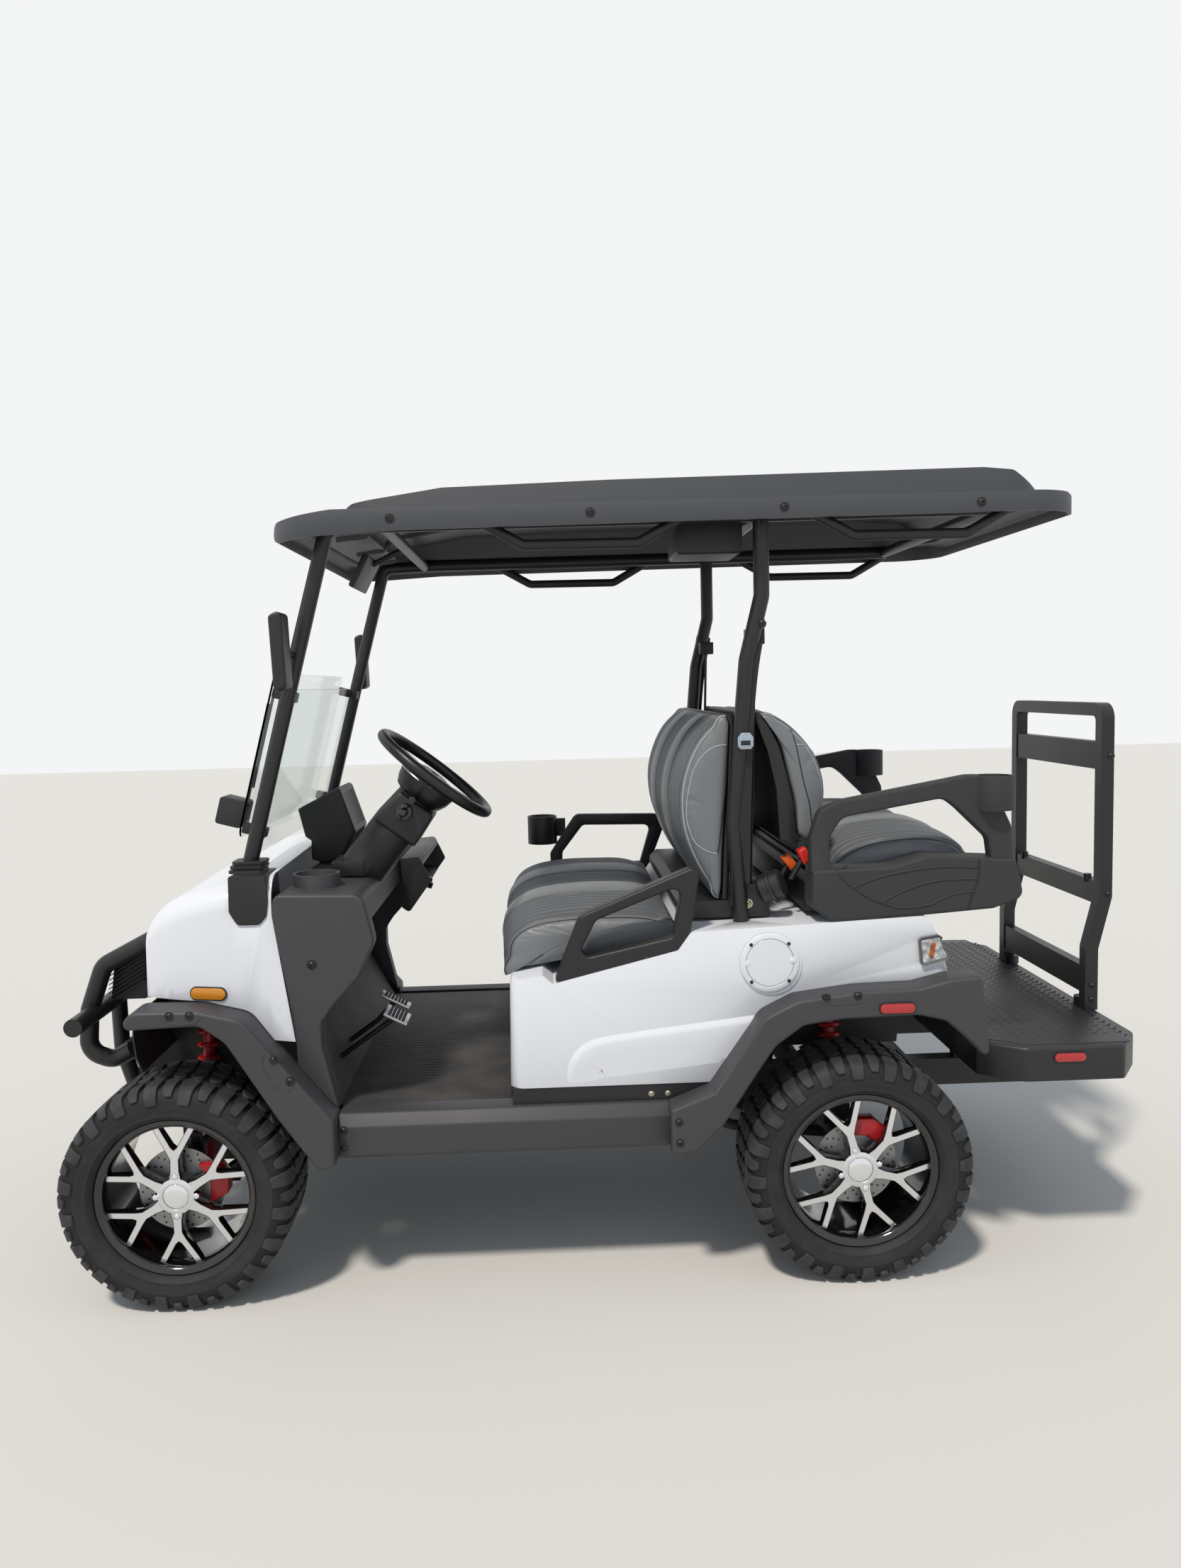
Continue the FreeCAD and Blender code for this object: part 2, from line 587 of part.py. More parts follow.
HANDLE_R = 13.0
HANDLE_DROP = 62.0
HANDLE_RUN = 110.0
HANDLE_Y = POST_Y + 47
HANDLES_X = ((FRONT_X - 783, -440.0), (REAR_X + 93, REAR_X - 409))


def roof_handles():
    handles = []
    for y in (-HANDLE_Y, HANDLE_Y):
        for front, rear in HANDLES_X:
            z = roof_z(rear, RAIL_DROP) - 6
            low = z - HANDLE_DROP
            line = [(front, y, z), (front - HANDLE_RUN, y, low), (rear + HANDLE_RUN, y, low), (rear, y, z)]
            parts = [tube(line, HANDLE_R, 30)]
            for x in (front - 4, rear + 4):
                parts.append(box(x - 15, x + 15, y - 12, y + 12, z - 8, roof_z(x + 15, ROOF_T + GAP)))
            handles.append(joined(parts))
    return Part.makeCompound(handles)


def overhead_box():
    """Closed box under the roof's rear half, ahead of the rear posts."""
    body = box(-598, -430, SEAT_HALF - 220, SEAT_HALF - 30, 1830, roof_z(-430, ROOF_T + GAP))
    return rounded(body, 10, lambda middle: middle.z < 1840)


# Windshield: a clear pane between the pillars, its upper half folded down in front of it
PANE_T = 5.0
PANE_HALF = POST_Y - POST_R - 5
LOWER_PANE_OUT = 2.0
UPPER_PANE_OUT = 46.0
CLAMP_T = 26.0


def pillar_point(along, out):
    """A point in the XZ plane, along the front pillar from its foot and out to the front of it."""
    foot = Vector(PILLAR_FOOT[0], 0, PILLAR_FOOT[1])
    run = (Vector(PILLAR_HEAD[0], 0, PILLAR_HEAD[1]) - foot).normalize()
    point = foot + run * along + Vector(run.z, 0, -run.x) * out
    return (point.x, point.z)


def pillar_block(along0, along1, out0, out1, y0, y1, radius=0):
    corners = [pillar_point(along0, out0), pillar_point(along1, out0), pillar_point(along1, out1),
               pillar_point(along0, out1)]
    return slab("xz", y0, y1, [(c[0], c[1], radius) for c in corners])


def windshield():
    lower = pillar_block(36, 470, LOWER_PANE_OUT, LOWER_PANE_OUT + PANE_T, -PANE_HALF, PANE_HALF)
    upper = pillar_block(72, 500, UPPER_PANE_OUT, UPPER_PANE_OUT + PANE_T, -PANE_HALF, PANE_HALF)
    upper = rounded(upper, 40, lambda middle: abs(abs(middle.y) - PANE_HALF) < 0.1
                    and abs(Vector(middle.x - PILLAR_FOOT[0], 0, middle.z - PILLAR_FOOT[1]).Length - 90) < 20)
    return Part.makeCompound([lower, upper])


def windshield_fittings():
    """Clamps that hold both panes to the pillars, and the wiper motor with its arm."""
    parts = []
    clear = tube(pillar_path(POST_Y), POST_R + GAP, PILLAR_BEND)
    for side in (-1, 1):
        for along in (88.0, 440.0):
            inner, outer = sorted((side * (POST_Y - 55), side * (POST_Y - 29)))
            parts.append(pillar_block(along, along + CLAMP_T, LOWER_PANE_OUT + PANE_T + GAP,
                                      UPPER_PANE_OUT - GAP, inner, outer, 4))
            clamp = pillar_block(along, along + CLAMP_T, -16, LOWER_PANE_OUT - GAP,
                                 POST_Y - 55, POST_Y - 10, 4)
            clamp = clamp.cut(clear)
            parts.append(clamp if side > 0 else mirrored(clamp))
    out = UPPER_PANE_OUT + PANE_T + GAP
    motor = pillar_block(96, 166, out, out + 66, POST_Y - 105, POST_Y - 35, 8)
    arm = pillar_block(150, 420, out + 6, out + 12, POST_Y - 82, POST_Y - 74)
    blade = pillar_block(200, 480, out, out + 6, POST_Y - 81, POST_Y - 75)
    return Part.makeCompound(parts + [joined([motor, arm, blade])])


def mirrors():
    inner, outer = POST_Y + 65, POST_Y + 145
    door = slab("xz", inner, outer, at(FRONT_X, [(-326, 1520, 12), (-295, 1507, 12), (-289, 1690, 12),
                                                 (-321, 1705, 12)]))
    door = rounded(door, 8, lambda middle: middle.y > outer - 1 or middle.y < inner + 1)
    stalk = rod((FRONT_X - 315, POST_Y + POST_R + GAP, 1600), (FRONT_X - 310, inner + 2, 1600), 9)
    left = joined([door, stalk])
    cabin = slab("xz", -110, 110, at(FRONT_X, [(-437, 1893, 6), (-453, 1885, 6), (-405, 1795, 6),
                                               (-391, 1804, 6)]))
    foot_x = FRONT_X - 528.5
    arm = rod((FRONT_X - 445, 0, 1870), (foot_x, 0, roof_z(foot_x, RAIL_DROP) - 4), 8)
    return Part.makeCompound([left, mirrored(left), joined([cabin, arm])])


# Steering column and wheel, tilted towards the driver
STEER_TILT = 39.0
STEER_X = FRONT_X - 632
STEER_Y = SEAT_HALF - 230
STEER_Z = 1281.0
STEER_R = 172.0
STEER_GRIP_R = 15.0
COLUMN_R = 62.0
COLUMN_LONG = 330.0
COLUMN_TOP = -52.0
SHAFT_R = 12.0


def steer_axis():
    tilt = math.radians(STEER_TILT)
    return Vector(-math.sin(tilt), 0, math.cos(tilt))


def steer_point(along):
    """A point on the column's axis, measured from the wheel's centre."""
    return Vector(STEER_X, STEER_Y, STEER_Z) + steer_axis() * along


def steering_column():
    """Moulded cover that narrows towards the wheel, with a stalk on each side and a key barrel."""
    start = steer_point(-COLUMN_LONG)
    long = COLUMN_LONG + COLUMN_TOP - 8
    wide = Part.makeCylinder(COLUMN_R, long - 110, start, steer_axis())
    taper = Part.makeCone(COLUMN_R, 50, 110, steer_point(COLUMN_TOP - 118), steer_axis())
    shaft = Part.makeCylinder(SHAFT_R, COLUMN_LONG + COLUMN_TOP + 30, start, steer_axis())
    foot = box(FRONT_X - 440, FRONT_X - 355, STEER_Y - 70, STEER_Y + 70, DASH_TOP - 1, DASH_TOP + 37)
    parts = [wide, taper, shaft, foot]
    for side in (-1, 1):
        root = steer_point(COLUMN_TOP - 40)
        tip = root + Vector(-10, side * 135, 12)
        parts.append(rod(tuple(root), tuple(tip), 6))
        parts.append(rod(tuple(tip), tuple(tip + Vector(-2, side * 30, 3)), 9))
    barrel = steer_point(COLUMN_TOP - 90)
    parts.append(rod(tuple(barrel), tuple(barrel + Vector(-6, 70, 0)), 13))
    return joined(parts)


def steering_wheel():
    rim = Part.makeTorus(STEER_R, STEER_GRIP_R, steer_point(0), steer_axis())
    hub = Part.makeCylinder(50, 36, steer_point(-50), steer_axis())
    cap = Part.makeCone(50, 38, 12, steer_point(-14), steer_axis())
    spokes = []
    for angle in (90, 210, 330):
        arm = box(38, STEER_R, -17, 17, -5, 5)
        arm.rotate(Vector(0, 0, 0), Vector(0, 0, 1), angle)
        arm.translate(Vector(0, 0, -16))
        arm.rotate(Vector(0, 0, 0), Vector(0, 1, 0), -STEER_TILT)
        arm.translate(steer_point(0))
        spokes.append(arm)
    wheel = joined([rim, hub, cap] + spokes)
    return wheel.cut(Part.makeCylinder(SHAFT_R + FIT, 60, steer_point(-60), steer_axis()))


def display():
    """Screen housing on the dash beside the column, leaning towards the driver."""
    side = at(FRONT_X, [(-220, 1176, 8), (-340, 1237, 12), (-382, 1107, 12), (-341, 1030),
                        (-285, DASH_TOP + GAP), (-254, 1030), (-254, 1084), (-238, 1096, 8)])
    body = slab("xz", -105, 105, side)
    return rounded(body, 7, lambda middle: abs(middle.y) > 104.9)


PEDAL_WIDE = 62.0


def pedals():
    parts = []
    for y in (STEER_Y - 55, STEER_Y + 60):
        middle = y + PEDAL_WIDE / 2
        pad = slab("xz", y, y + PEDAL_WIDE, at(FRONT_X, [(-539, 631, 3), (-467, 585, 3), (-473, 573, 3),
                                                         (-545, 619, 3)]))
        arm = tube(at(FRONT_X, [(-500, middle, 597), (-445, middle, 560), (-356.1, middle, 520.1)]), 7, 20)
        parts.append(joined([pad, arm]))
    return Part.makeCompound(parts)


# Front seat: two places side by side on one cushion, and two backrests back to back on a frame
def lobes(section, half, edge):
    """A padded bar across the cart with soft ends and a shallow valley between its two places."""
    body = slab("xz", -half, half, section)
    return rounded(body, edge, lambda middle: abs(middle.y) > half - 0.1)


CUSHION_X = SEAT_BASE_FRONT - 22
BACK_X = -412.0


def front_cushion():
    section = at(CUSHION_X, [(36, 770), (37, 850, 40), (-60, 925, 70), (-260, 938, 80), (-405, 912, 25),
                             (-400, 853), (-70, 798), (23, 786), (24, 770)])
    body = slab("xz", -SEAT_HALF, SEAT_HALF, section)
    return rounded(body, 18, lambda middle: abs(middle.y) > SEAT_HALF - 0.1 and middle.z > 850)


def front_backrest():
    section = at(BACK_X, [(0, 930, 25), (-28, 1222, 100), (-111, 1411, 14), (-144, 1405, 14), (-134, 1222, 80),
                          (-88, 925, 20)])
    return lobes(section, SEAT_HALF - 20, 10)


def rear_backrest():
    section = [(-682, 1100, 20), (-668, 1345, 30), (-690, 1421, 20), (-775, 1353, 40), (-812, 1221, 60),
               (-775, 1100, 40)]
    return lobes(section, SEAT_HALF - 20, 14)


def seat_back_frame():
    """Upright tubes and cross bars that stand on the rear body and carry both backrests."""
    parts = []
    upright = SEAT_HALF - 120
    for y in (-upright, upright):
        parts.append(tube([(-600, y, 905), (-600, y, 1400)], 16, 20))
    for z in (1000.0, 1190.0, 1340.0):
        parts.append(rod((-600, -upright, z), (-600, upright, z), 14))
    for z in (1190.0, 1340.0):
        for y in (-upright / 1.52, upright / 1.52):
            parts.append(rod((-558, y, z), (-660, y, z), 10))
    return joined(parts)


# Rear seat: its cushion and deck turn back on two pins, over the step, to make a load deck
HINGE_X = REAR_X - 350
HINGE_Z = 975.0
HINGE_R = 8.0
BASE_Z = 990.0
DECK_T = 12.0
DECK_HALF = SEAT_HALF - 8
DECK_EAR_Y = 320.0
DECK_EAR_T = 20.0
EAR_GAP = 7.0
BASE_ARM_T = 16.0


def rear_cushion():
    low = BASE_Z + GAP + DECK_T + GAP
    section = at(REAR_X, [(45, low, 10), (25, 1060, 30), (-123, 1113, 60), (-272, 1090, 60), (-335, 1050, 15),
                          (-339, low, 8)])
    return lobes(section, DECK_HALF, 20)


def rear_seat_deck():
    low = BASE_Z + GAP
    plate = box(REAR_X - 341, REAR_X + 57, -DECK_HALF, DECK_HALF, low, low + DECK_T)
    ears = []
    for y in (-DECK_EAR_Y, DECK_EAR_Y):
        corners = at(HINGE_X, [(-16, HINGE_Z - 13, 12), (13, HINGE_Z - 13, 8), (26, HINGE_Z + 17),
                               (26, low + 10), (5, low + 10), (-16, HINGE_Z + 13, 12)])
        ear = slab("xz", y - DECK_EAR_T / 2, y + DECK_EAR_T / 2, corners)
        ears.append(ear.cut(rod((HINGE_X, y - 20, HINGE_Z), (HINGE_X, y + 20, HINGE_Z), HINGE_R + FIT)))
    return joined([plate] + ears)


def rear_seat_base():
    """Box that carries the rear seat, with the pins that its deck turns on."""
    front, rear = -745.0, HINGE_X + 30
    t = SHELL_T
    outer = slab("xz", -SEAT_HALF, SEAT_HALF, [(front, 916), (front, BASE_Z), (rear, BASE_Z), (rear, 940),
                                               (REAR_X - 215, 922)])
    hollow = [(front - t, 899), (front - t, BASE_Z - t), (rear + t, BASE_Z - t), (rear + t, 940 + t),
              (REAR_X - 213, 928), (REAR_X - 205, 880)]
    parts = [outer.cut(slab("xz", t - SEAT_HALF, SEAT_HALF - t, hollow))]
    reach = DECK_EAR_T / 2 + EAR_GAP + BASE_ARM_T / 2
    for side in (-1, 1):
        for y in (side * DECK_EAR_Y - reach, side * DECK_EAR_Y + reach):
            corners = at(HINGE_X, [(-12, HINGE_Z - 10, 10), (-12, HINGE_Z + 9, 8), (12, HINGE_Z + 9, 6),
                                   (35, HINGE_Z), (35, HINGE_Z - 25), (10, HINGE_Z - 18, 6)])
            parts.append(slab("xz", y - BASE_ARM_T / 2, y + BASE_ARM_T / 2, corners))
        y = side * DECK_EAR_Y
        pin = reach + BASE_ARM_T / 2 - 3
        parts.append(rod((HINGE_X, y - pin, HINGE_Z), (HINGE_X, y + pin, HINGE_Z), HINGE_R))
    return joined(parts)


# Side panels of the rear seat, with armrest loops that end in cup holders, and the two unlike
# armrests of the front seat
PANEL_IN = SEAT_HALF + GAP
PANEL_OUT = BODY_HALF
REST_CUP_R = 43.0
REST_CUP_WALL = 7.0
REST_CUP_FLOOR = 8.0
REAR_CUP_X = REAR_X - 360
REAR_CUP_TOP = 1259.0
REST_CUP_Y = BODY_HALF - 27
SIDE_CUP_X = -65.0
SIDE_CUP_TOP = 1061.0


def cup_holder(body, x, y, low, top):
    """The body with a round holder added to it, open at the top."""
    body = body.fuse(rod((x, y, low), (x, y, top), REST_CUP_R + REST_CUP_WALL))
    return body.cut(rod((x, y, low + REST_CUP_FLOOR), (x, y, top + 40), REST_CUP_R))


def rear_side_panels():
    low = slab("xz", PANEL_IN, PANEL_OUT,
               [(-743, 1035, 8), (-742, 940, 20)]
               + at(REAR_X, [(55, 904.3, 30), (-155, 912.9), (-354, 926, 30), (-432, 953, 25), (-409, 1050, 10),
                             (-187, 1064, 40), (-95, 1040)]))
    low = rounded(low, 8, lambda middle: middle.y > PANEL_OUT - 0.1)
    loop = [(-740, 1030), (-740, 1116, 40), (-762, 1185, 40)]
    loop += at(REAR_X, [(32, 1207, 40), (-290, 1262, 40), (-340, 1262), (-401, 1134, 30), (-408, 1040)])
    loop = slab("xz", BODY_HALF - 45, BODY_HALF - 8, loop)
    hole = [(-790, 1045, 10), (-787, 1115, 40), (-820, 1165, 40)]
    hole += at(REAR_X, [(-231, 1207, 50), (-265, 1179, 30), (-342, 1103, 30), (-350, 1045, 10)])
    loop = loop.cut(slab("xz", SEAT_HALF - 20, BODY_HALF + 30, hole))
    loop = rounded(loop, 7, lambda middle: middle.y > BODY_HALF - 8.1 and middle.z > 1075)
    panel = cup_holder(low.fuse(loop), REAR_CUP_X, REST_CUP_Y, REAR_CUP_TOP - 86, REAR_CUP_TOP)
    return both(panel.removeSplitter())


def front_armrests():
    out = BODY_HALF - 2
    foot = [(-94, 771.8, 6), (-404, 846.8, 12), (-438, 894.6, 14)]
    outer = slab("xz", out - 43, out, [foot[0], (-161, 939, 30), (-467, 1062, 20), foot[2], foot[1]])
    left = outer.cut(slab("xz", out - 68, out + 12, [(-150, 829, 18), (-202, 927, 25), (-420, 1010, 20),
                                                     (-393, 879, 15)]))
    left = rounded(left, 7, lambda middle: middle.y > out - 0.1)
    outer = slab("xz", -out, 36 - out, [foot[0], (-90, 930, 20), (-180, 1064, 30), (-471, 1058, 30),
                                        (-484, 1011, 20), foot[2], foot[1]])
    right = outer.cut(slab("xz", -out - 32, 68 - out, [(-128, 815, 10), (-133, 935, 20), (-205, 1027, 20),
                                                      (-441, 1022, 20), (-398, 880, 10)]))
    right = rounded(right, 7, lambda middle: middle.y < 0.1 - out)
    link = box(-145, SIDE_CUP_X - 25, 6 - out, 32 - out, 990, 1050)
    right = cup_holder(right.fuse(link), SIDE_CUP_X, -BODY_HALF + 25, SIDE_CUP_TOP - 95, SIDE_CUP_TOP)
    return Part.makeCompound([left, right.removeSplitter()])


# Rear step with a raised tread plate, and the grab bar that stands on it
STEP_FRONT = REAR_X - 333
STEP_REAR = REAR_X - 761
STEP_HALF = BODY_HALF + 13
TREAD_T = 2.0
TREAD_REAR = STEP_REAR + 45


def step():
    half = STEP_HALF
    plan = [(STEP_FRONT, 73 - half), (STEP_FRONT, half - 73), (STEP_FRONT - 101, half, 30),
            (STEP_REAR + 74, half, 20), (STEP_REAR, half - 103, 20), (STEP_REAR, 103 - half, 20),
            (STEP_REAR + 74, -half, 20), (STEP_FRONT - 101, -half, 30)]
    face = Part.Face(outline("xy", STEP_LOW_Z, plan))
    outer = face.extrude(Vector(0, 0, STEP_TOP_Z - STEP_LOW_Z))
    outer = rounded(outer, 10, lambda middle: middle.z > STEP_TOP_Z - 0.1)
    inner = face.makeOffset2D(-STEP_WALL).extrude(Vector(0, 0, STEP_TOP_Z - STEP_LOW_Z - STEP_WALL))
    tread = [(STEP_FRONT - 16, 89 - half, 10), (STEP_FRONT - 16, half - 89, 10),
             (STEP_FRONT - 108, half - 20, 20), (TREAD_REAR, half - 20, 15), (TREAD_REAR, 20 - half, 15),
             (STEP_FRONT - 108, 20 - half, 20)]
    plate = slab("xy", STEP_TOP_Z - 1, STEP_TOP_Z + TREAD_T, tread)
    return joined([outer.cut(inner), plate])


BAR_HALF = 18.0
BAR_Y = 285.0
BAR_X = REAR_X - 780
BAR_FOOT_X = STEP_REAR + 18
BAR_TOP = 1425.0
BAR_BEND_Z = 890.0
PEG_Y = BAR_Y - 70
PEG_R = 11.0
PEG_TOP_Z = 941.0
# Columns: x of the channel's middle, low z, high z
BAR_CHANNELS = [(BAR_X, 1242, 1318), (BAR_X, 865, 928), (BAR_FOOT_X, 615, 691)]


def grab_bar():
    y, h = BAR_Y, BAR_HALF
    outer = [(-y - h, BAR_BEND_Z), (-y - h, BAR_TOP, 45), (y + h, BAR_TOP, 45), (y + h, BAR_BEND_Z)]
    inner = [(h - y, BAR_BEND_Z - 10), (h - y, BAR_TOP - 2 * h, 15), (y - h, BAR_TOP - 2 * h, 15),
             (y - h, BAR_BEND_Z - 10)]
    parts = [slab("yz", BAR_X - h, BAR_X + h, outer).cut(slab("yz", BAR_X - h - 5, BAR_X + h + 5, inner))]
    foot = STEP_TOP_Z + GAP
    for side in (-1, 1):
        leg = [(BAR_FOOT_X, foot), (BAR_FOOT_X, 745), (BAR_X, BAR_BEND_Z), (BAR_X, BAR_BEND_Z + 30)]
        parts.append(strip(leg, 30, h, side * y - h, side * y + h))
        parts.append(rod((BAR_FOOT_X, side * (y - 38), foot), (BAR_FOOT_X, side * (y - 38), foot + 26), 22))
        parts.append(rod((BAR_X + 10, side * PEG_Y, 918), (BAR_X + 10, side * PEG_Y, PEG_TOP_Z), PEG_R))
    for x, low, high in BAR_CHANNELS:
        channel = box(x - h + 3, x + h - 3, -y, y, low, high)
        parts.append(channel.cut(box(x - h - 3, x + h - 8, h - y, y - h, low + 5, high - 5)))
    return joined(parts)


# Seat belts: webbing from a guide on each rear post down to its retractor
BELT_Y = POST_Y - 43
BELT_HALF = 23.0


def seat_belts():
    belts = []
    for y in (-BELT_Y, BELT_Y):
        belts.append(strip([(-610, 990), (-628, 1600)], 5, 1, y - BELT_HALF, y + BELT_HALF))
    return Part.makeCompound(belts)


def belt_hardware():
    """Retractors at the feet of the rear posts, and the guides that the webbing runs through."""
    parts = []
    for side in (-1, 1):
        y = side * BELT_Y
        post = tube(post_path(side * POST_Y), POST_R + 1.5, POST_BEND)
        parts.append(box(-650, -585, y - 32, y + 32, 903, 989).cut(post))
        parts.append(box(-650, -606, y - 28, y + 28, 1601, 1640).cut(post))
    return Part.makeCompound(parts)


# Running gear: battery, rear axle with its motor, front arms, springs, knuckles and tie rod
def battery():
    half = RAIL_Y - RAIL_W / 2 - 20
    return box(TRAY_X[0] + 62, TRAY_X[1] - 22, -half, half, RAIL_LOW + TRAY_T + GAP, 740)


MOTOR_R = 85.0
BEAM_R = 35.0
SPRING_Y = (RAIL_Y + RAIL_W / 2 + KINGPIN_Y) / 2
SPRING_R = 30.0
DAMPER_R = 16.0
COIL_R = 6.0
COIL_TURNS = 6
SPRING_LOW_FRONT = 262.0
SPRING_LOW_REAR = AXLE_Z + 80


def rear_axle():
    spindle_y = WHEEL_Y - 70
    parts = [rod((REAR_X, -spindle_y, AXLE_Z), (REAR_X, spindle_y, AXLE_Z), BEAM_R),
             rod((REAR_X, -20, AXLE_Z), (REAR_X, 190, AXLE_Z), MOTOR_R)]
    for side in (-1, 1):
        y = side * SPRING_Y
        parts.append(box(REAR_X - 40, REAR_X + 30, y - 22, y + 22, AXLE_Z - 20, SPRING_LOW_REAR - 5))
        parts.append(tube([(REAR_X + 20, y, AXLE_Z - 10), (REAR_X + 285, y, AXLE_Z + 20),
                           (REAR_X + 390, side * (RAIL_Y + RAIL_W / 2 + 8), RAIL_Z - 60)], 14, 60))
        parts.append(rod((REAR_X, side * spindle_y, AXLE_Z), (REAR_X, side * (WHEEL_Y + 48), AXLE_Z), AXLE_R))
    return joined(parts)


STEER_ARM = 110.0
TIE_Z = 283.0
TIE_R = 9.0
KINGPIN_R = 12.0
ARM_LEVELS = (225.0, 345.0)


def front_suspension():
    """Two A-arms a side from a plate under the rail to the kingpin, and the steering rack."""
    parts = []
    plate = RAIL_Y - 30
    root = plate + 10
    for side in (-1, 1):
        y = side * KINGPIN_Y
        for z in ARM_LEVELS:
            for reach in (-78, 95):
                parts.append(rod((FRONT_X + reach, side * root, z), (FRONT_X, y, z), 11))
            parts.append(rod((FRONT_X, y, z - 12), (FRONT_X, y, z + 12), 24))
        parts.append(box(FRONT_X - 92, FRONT_X + 112, side * plate, side * (plate + 20), 205, RAIL_LOW - GAP))
    rack_x = FRONT_X - STEER_ARM
    parts.append(box(rack_x - 20, rack_x + 20, -60, 60, TIE_Z - 20, TIE_Z + 25))
    parts.append(box(rack_x - 20, FRONT_X - 80, -plate - 20, plate + 20, TIE_Z + 18, TIE_Z + 30))
    frame = joined(parts).cut(rod((rack_x, -70, TIE_Z), (rack_x, 70, TIE_Z), TIE_R + FIT))
    for y in (-KINGPIN_Y, KINGPIN_Y):
        frame = frame.cut(rod((FRONT_X, y, 190), (FRONT_X, y, 380), KINGPIN_R + FIT))
    return frame


def springs():
    """A damper with its coil at each wheel, the coil's turns as rings on the damper's tube."""
    parts = []
    for x, foot in ((FRONT_X, SPRING_LOW_FRONT), (REAR_X, SPRING_LOW_REAR)):
        for side in (-1, 1):
            low = Vector(x, side * SPRING_Y, foot)
            lean = (SPRING_Y - TOWER_Y) / (TOWER_TOP - foot)
            high = Vector(x, side * TOWER_Y, TOWER_TOP - TOWER_T - GAP - DAMPER_R * lean)
            run = high - low
            strut = [Part.makeCylinder(DAMPER_R, run.Length, low, run)]
            for share in (0.35, 0.93):
                strut.append(Part.makeCylinder(SPRING_R + 4, 8, low + run * share, run))
            for i in range(COIL_TURNS):
                share = 0.35 + 0.55 * (i + 0.7) / COIL_TURNS
                ring = Part.makeTorus(SPRING_R - COIL_R, COIL_R, low + run * share, run)
                plate = Part.makeCylinder(SPRING_R - COIL_R, 3, low + run * share, run)
                strut += [ring, plate]
            parts.append(joined(strut))
    return Part.makeCompound(parts)


def knuckle(side):
    y = side * KINGPIN_Y
    pin = rod((FRONT_X, y, 200), (FRONT_X, y, 372), KINGPIN_R)
    upright = rod((FRONT_X, y, ARM_LEVELS[0] + 19), (FRONT_X, y, ARM_LEVELS[1] - 19), 22)
    spindle = rod((FRONT_X, y, AXLE_Z), (FRONT_X, side * (WHEEL_Y + 48), AXLE_Z), AXLE_R)
    arm = rod((FRONT_X, y, 258), (FRONT_X - STEER_ARM, y, 258), 10)
    return joined([pin, upright, spindle, arm])


def tie_rod():
    x = FRONT_X - STEER_ARM
    return rod((x, -KINGPIN_Y, TIE_Z), (x, KINGPIN_Y, TIE_Z), TIE_R)


# Wheels: tyres with blocks that wrap over the shoulder, on alloy rims with six forked spokes
RIM_HALF = 100.0
RIM_FLANGE_R = RIM_SEAT_R + 17.7
RIM_T = 8.0
FLANGE_T = 7.5
SPOKES = 6
PITCHES = 20
LUG_DEEP = 9.0
BORE_R = (RIM_SEAT_R + 0.5) / math.cos(math.pi / (2 * PITCHES))
# Columns: radius, offset from the tyre's middle
SIDEWALL = [(BORE_R, RIM_HALF - 8), (RIM_FLANGE_R + 1.2, RIM_HALF - 8), (TYRE_R - 56, TYRE_HALF - 4)]
GROOVE = [(TYRE_R - LUG_DEEP, TYRE_HALF - 28)]
LUG = [(TYRE_R - 48, TYRE_HALF), (TYRE_R - 14, TYRE_HALF - 11), (TYRE_R, TYRE_HALF - 28), (TYRE_R, 9),
       (TYRE_R - LUG_DEEP, 6)]
CROWN_LINE = (TYRE_R - LUG_DEEP, 0)


def polygon(points):
    return Part.Face(Part.makePolygon(points + points[:1]))


def around(corner, step):
    """A corner (radius, offset) set out about the Y axis at one of the tread's steps."""
    angle = math.pi * step / PITCHES
    return Vector(corner[0] * math.sin(angle), corner[1], corner[0] * math.cos(angle))


def tyre(x, side):
    """Flat-sided tyre: in each half, steps of the tread are blocks and grooves by turns."""
    faces = []
    for step in range(2 * PITCHES):
        bore = [SIDEWALL[0], (BORE_R, -SIDEWALL[0][1])]
        faces.append(polygon([around(bore[0], step), around(bore[0], step + 1),
                              around(bore[1], step + 1), around(bore[1], step)]))
        for hand in (-1, 1):
            block = (step + (hand > 0)) % 2 == 0
            section = SIDEWALL + (LUG if block else GROOVE) + [CROWN_LINE]
            section = [(r, hand * y) for r, y in section]
            for near, far in zip(section[:-1], section[1:]):
                faces.append(polygon([around(near, step), around(far, step),
                                      around(far, step + 1), around(near, step + 1)]))
            wall = SIDEWALL[-1:] + LUG + GROOVE
            faces.append(polygon([around((r, hand * y), step) for r, y in wall]))
    shell = Part.makeShell(faces)
    shell.sewShape()
    whole = Part.makeSolid(shell)
    if whole.Volume < 0:
        whole.reverse()
    whole.translate(Vector(x, side * WHEEL_Y, AXLE_Z))
    return whole


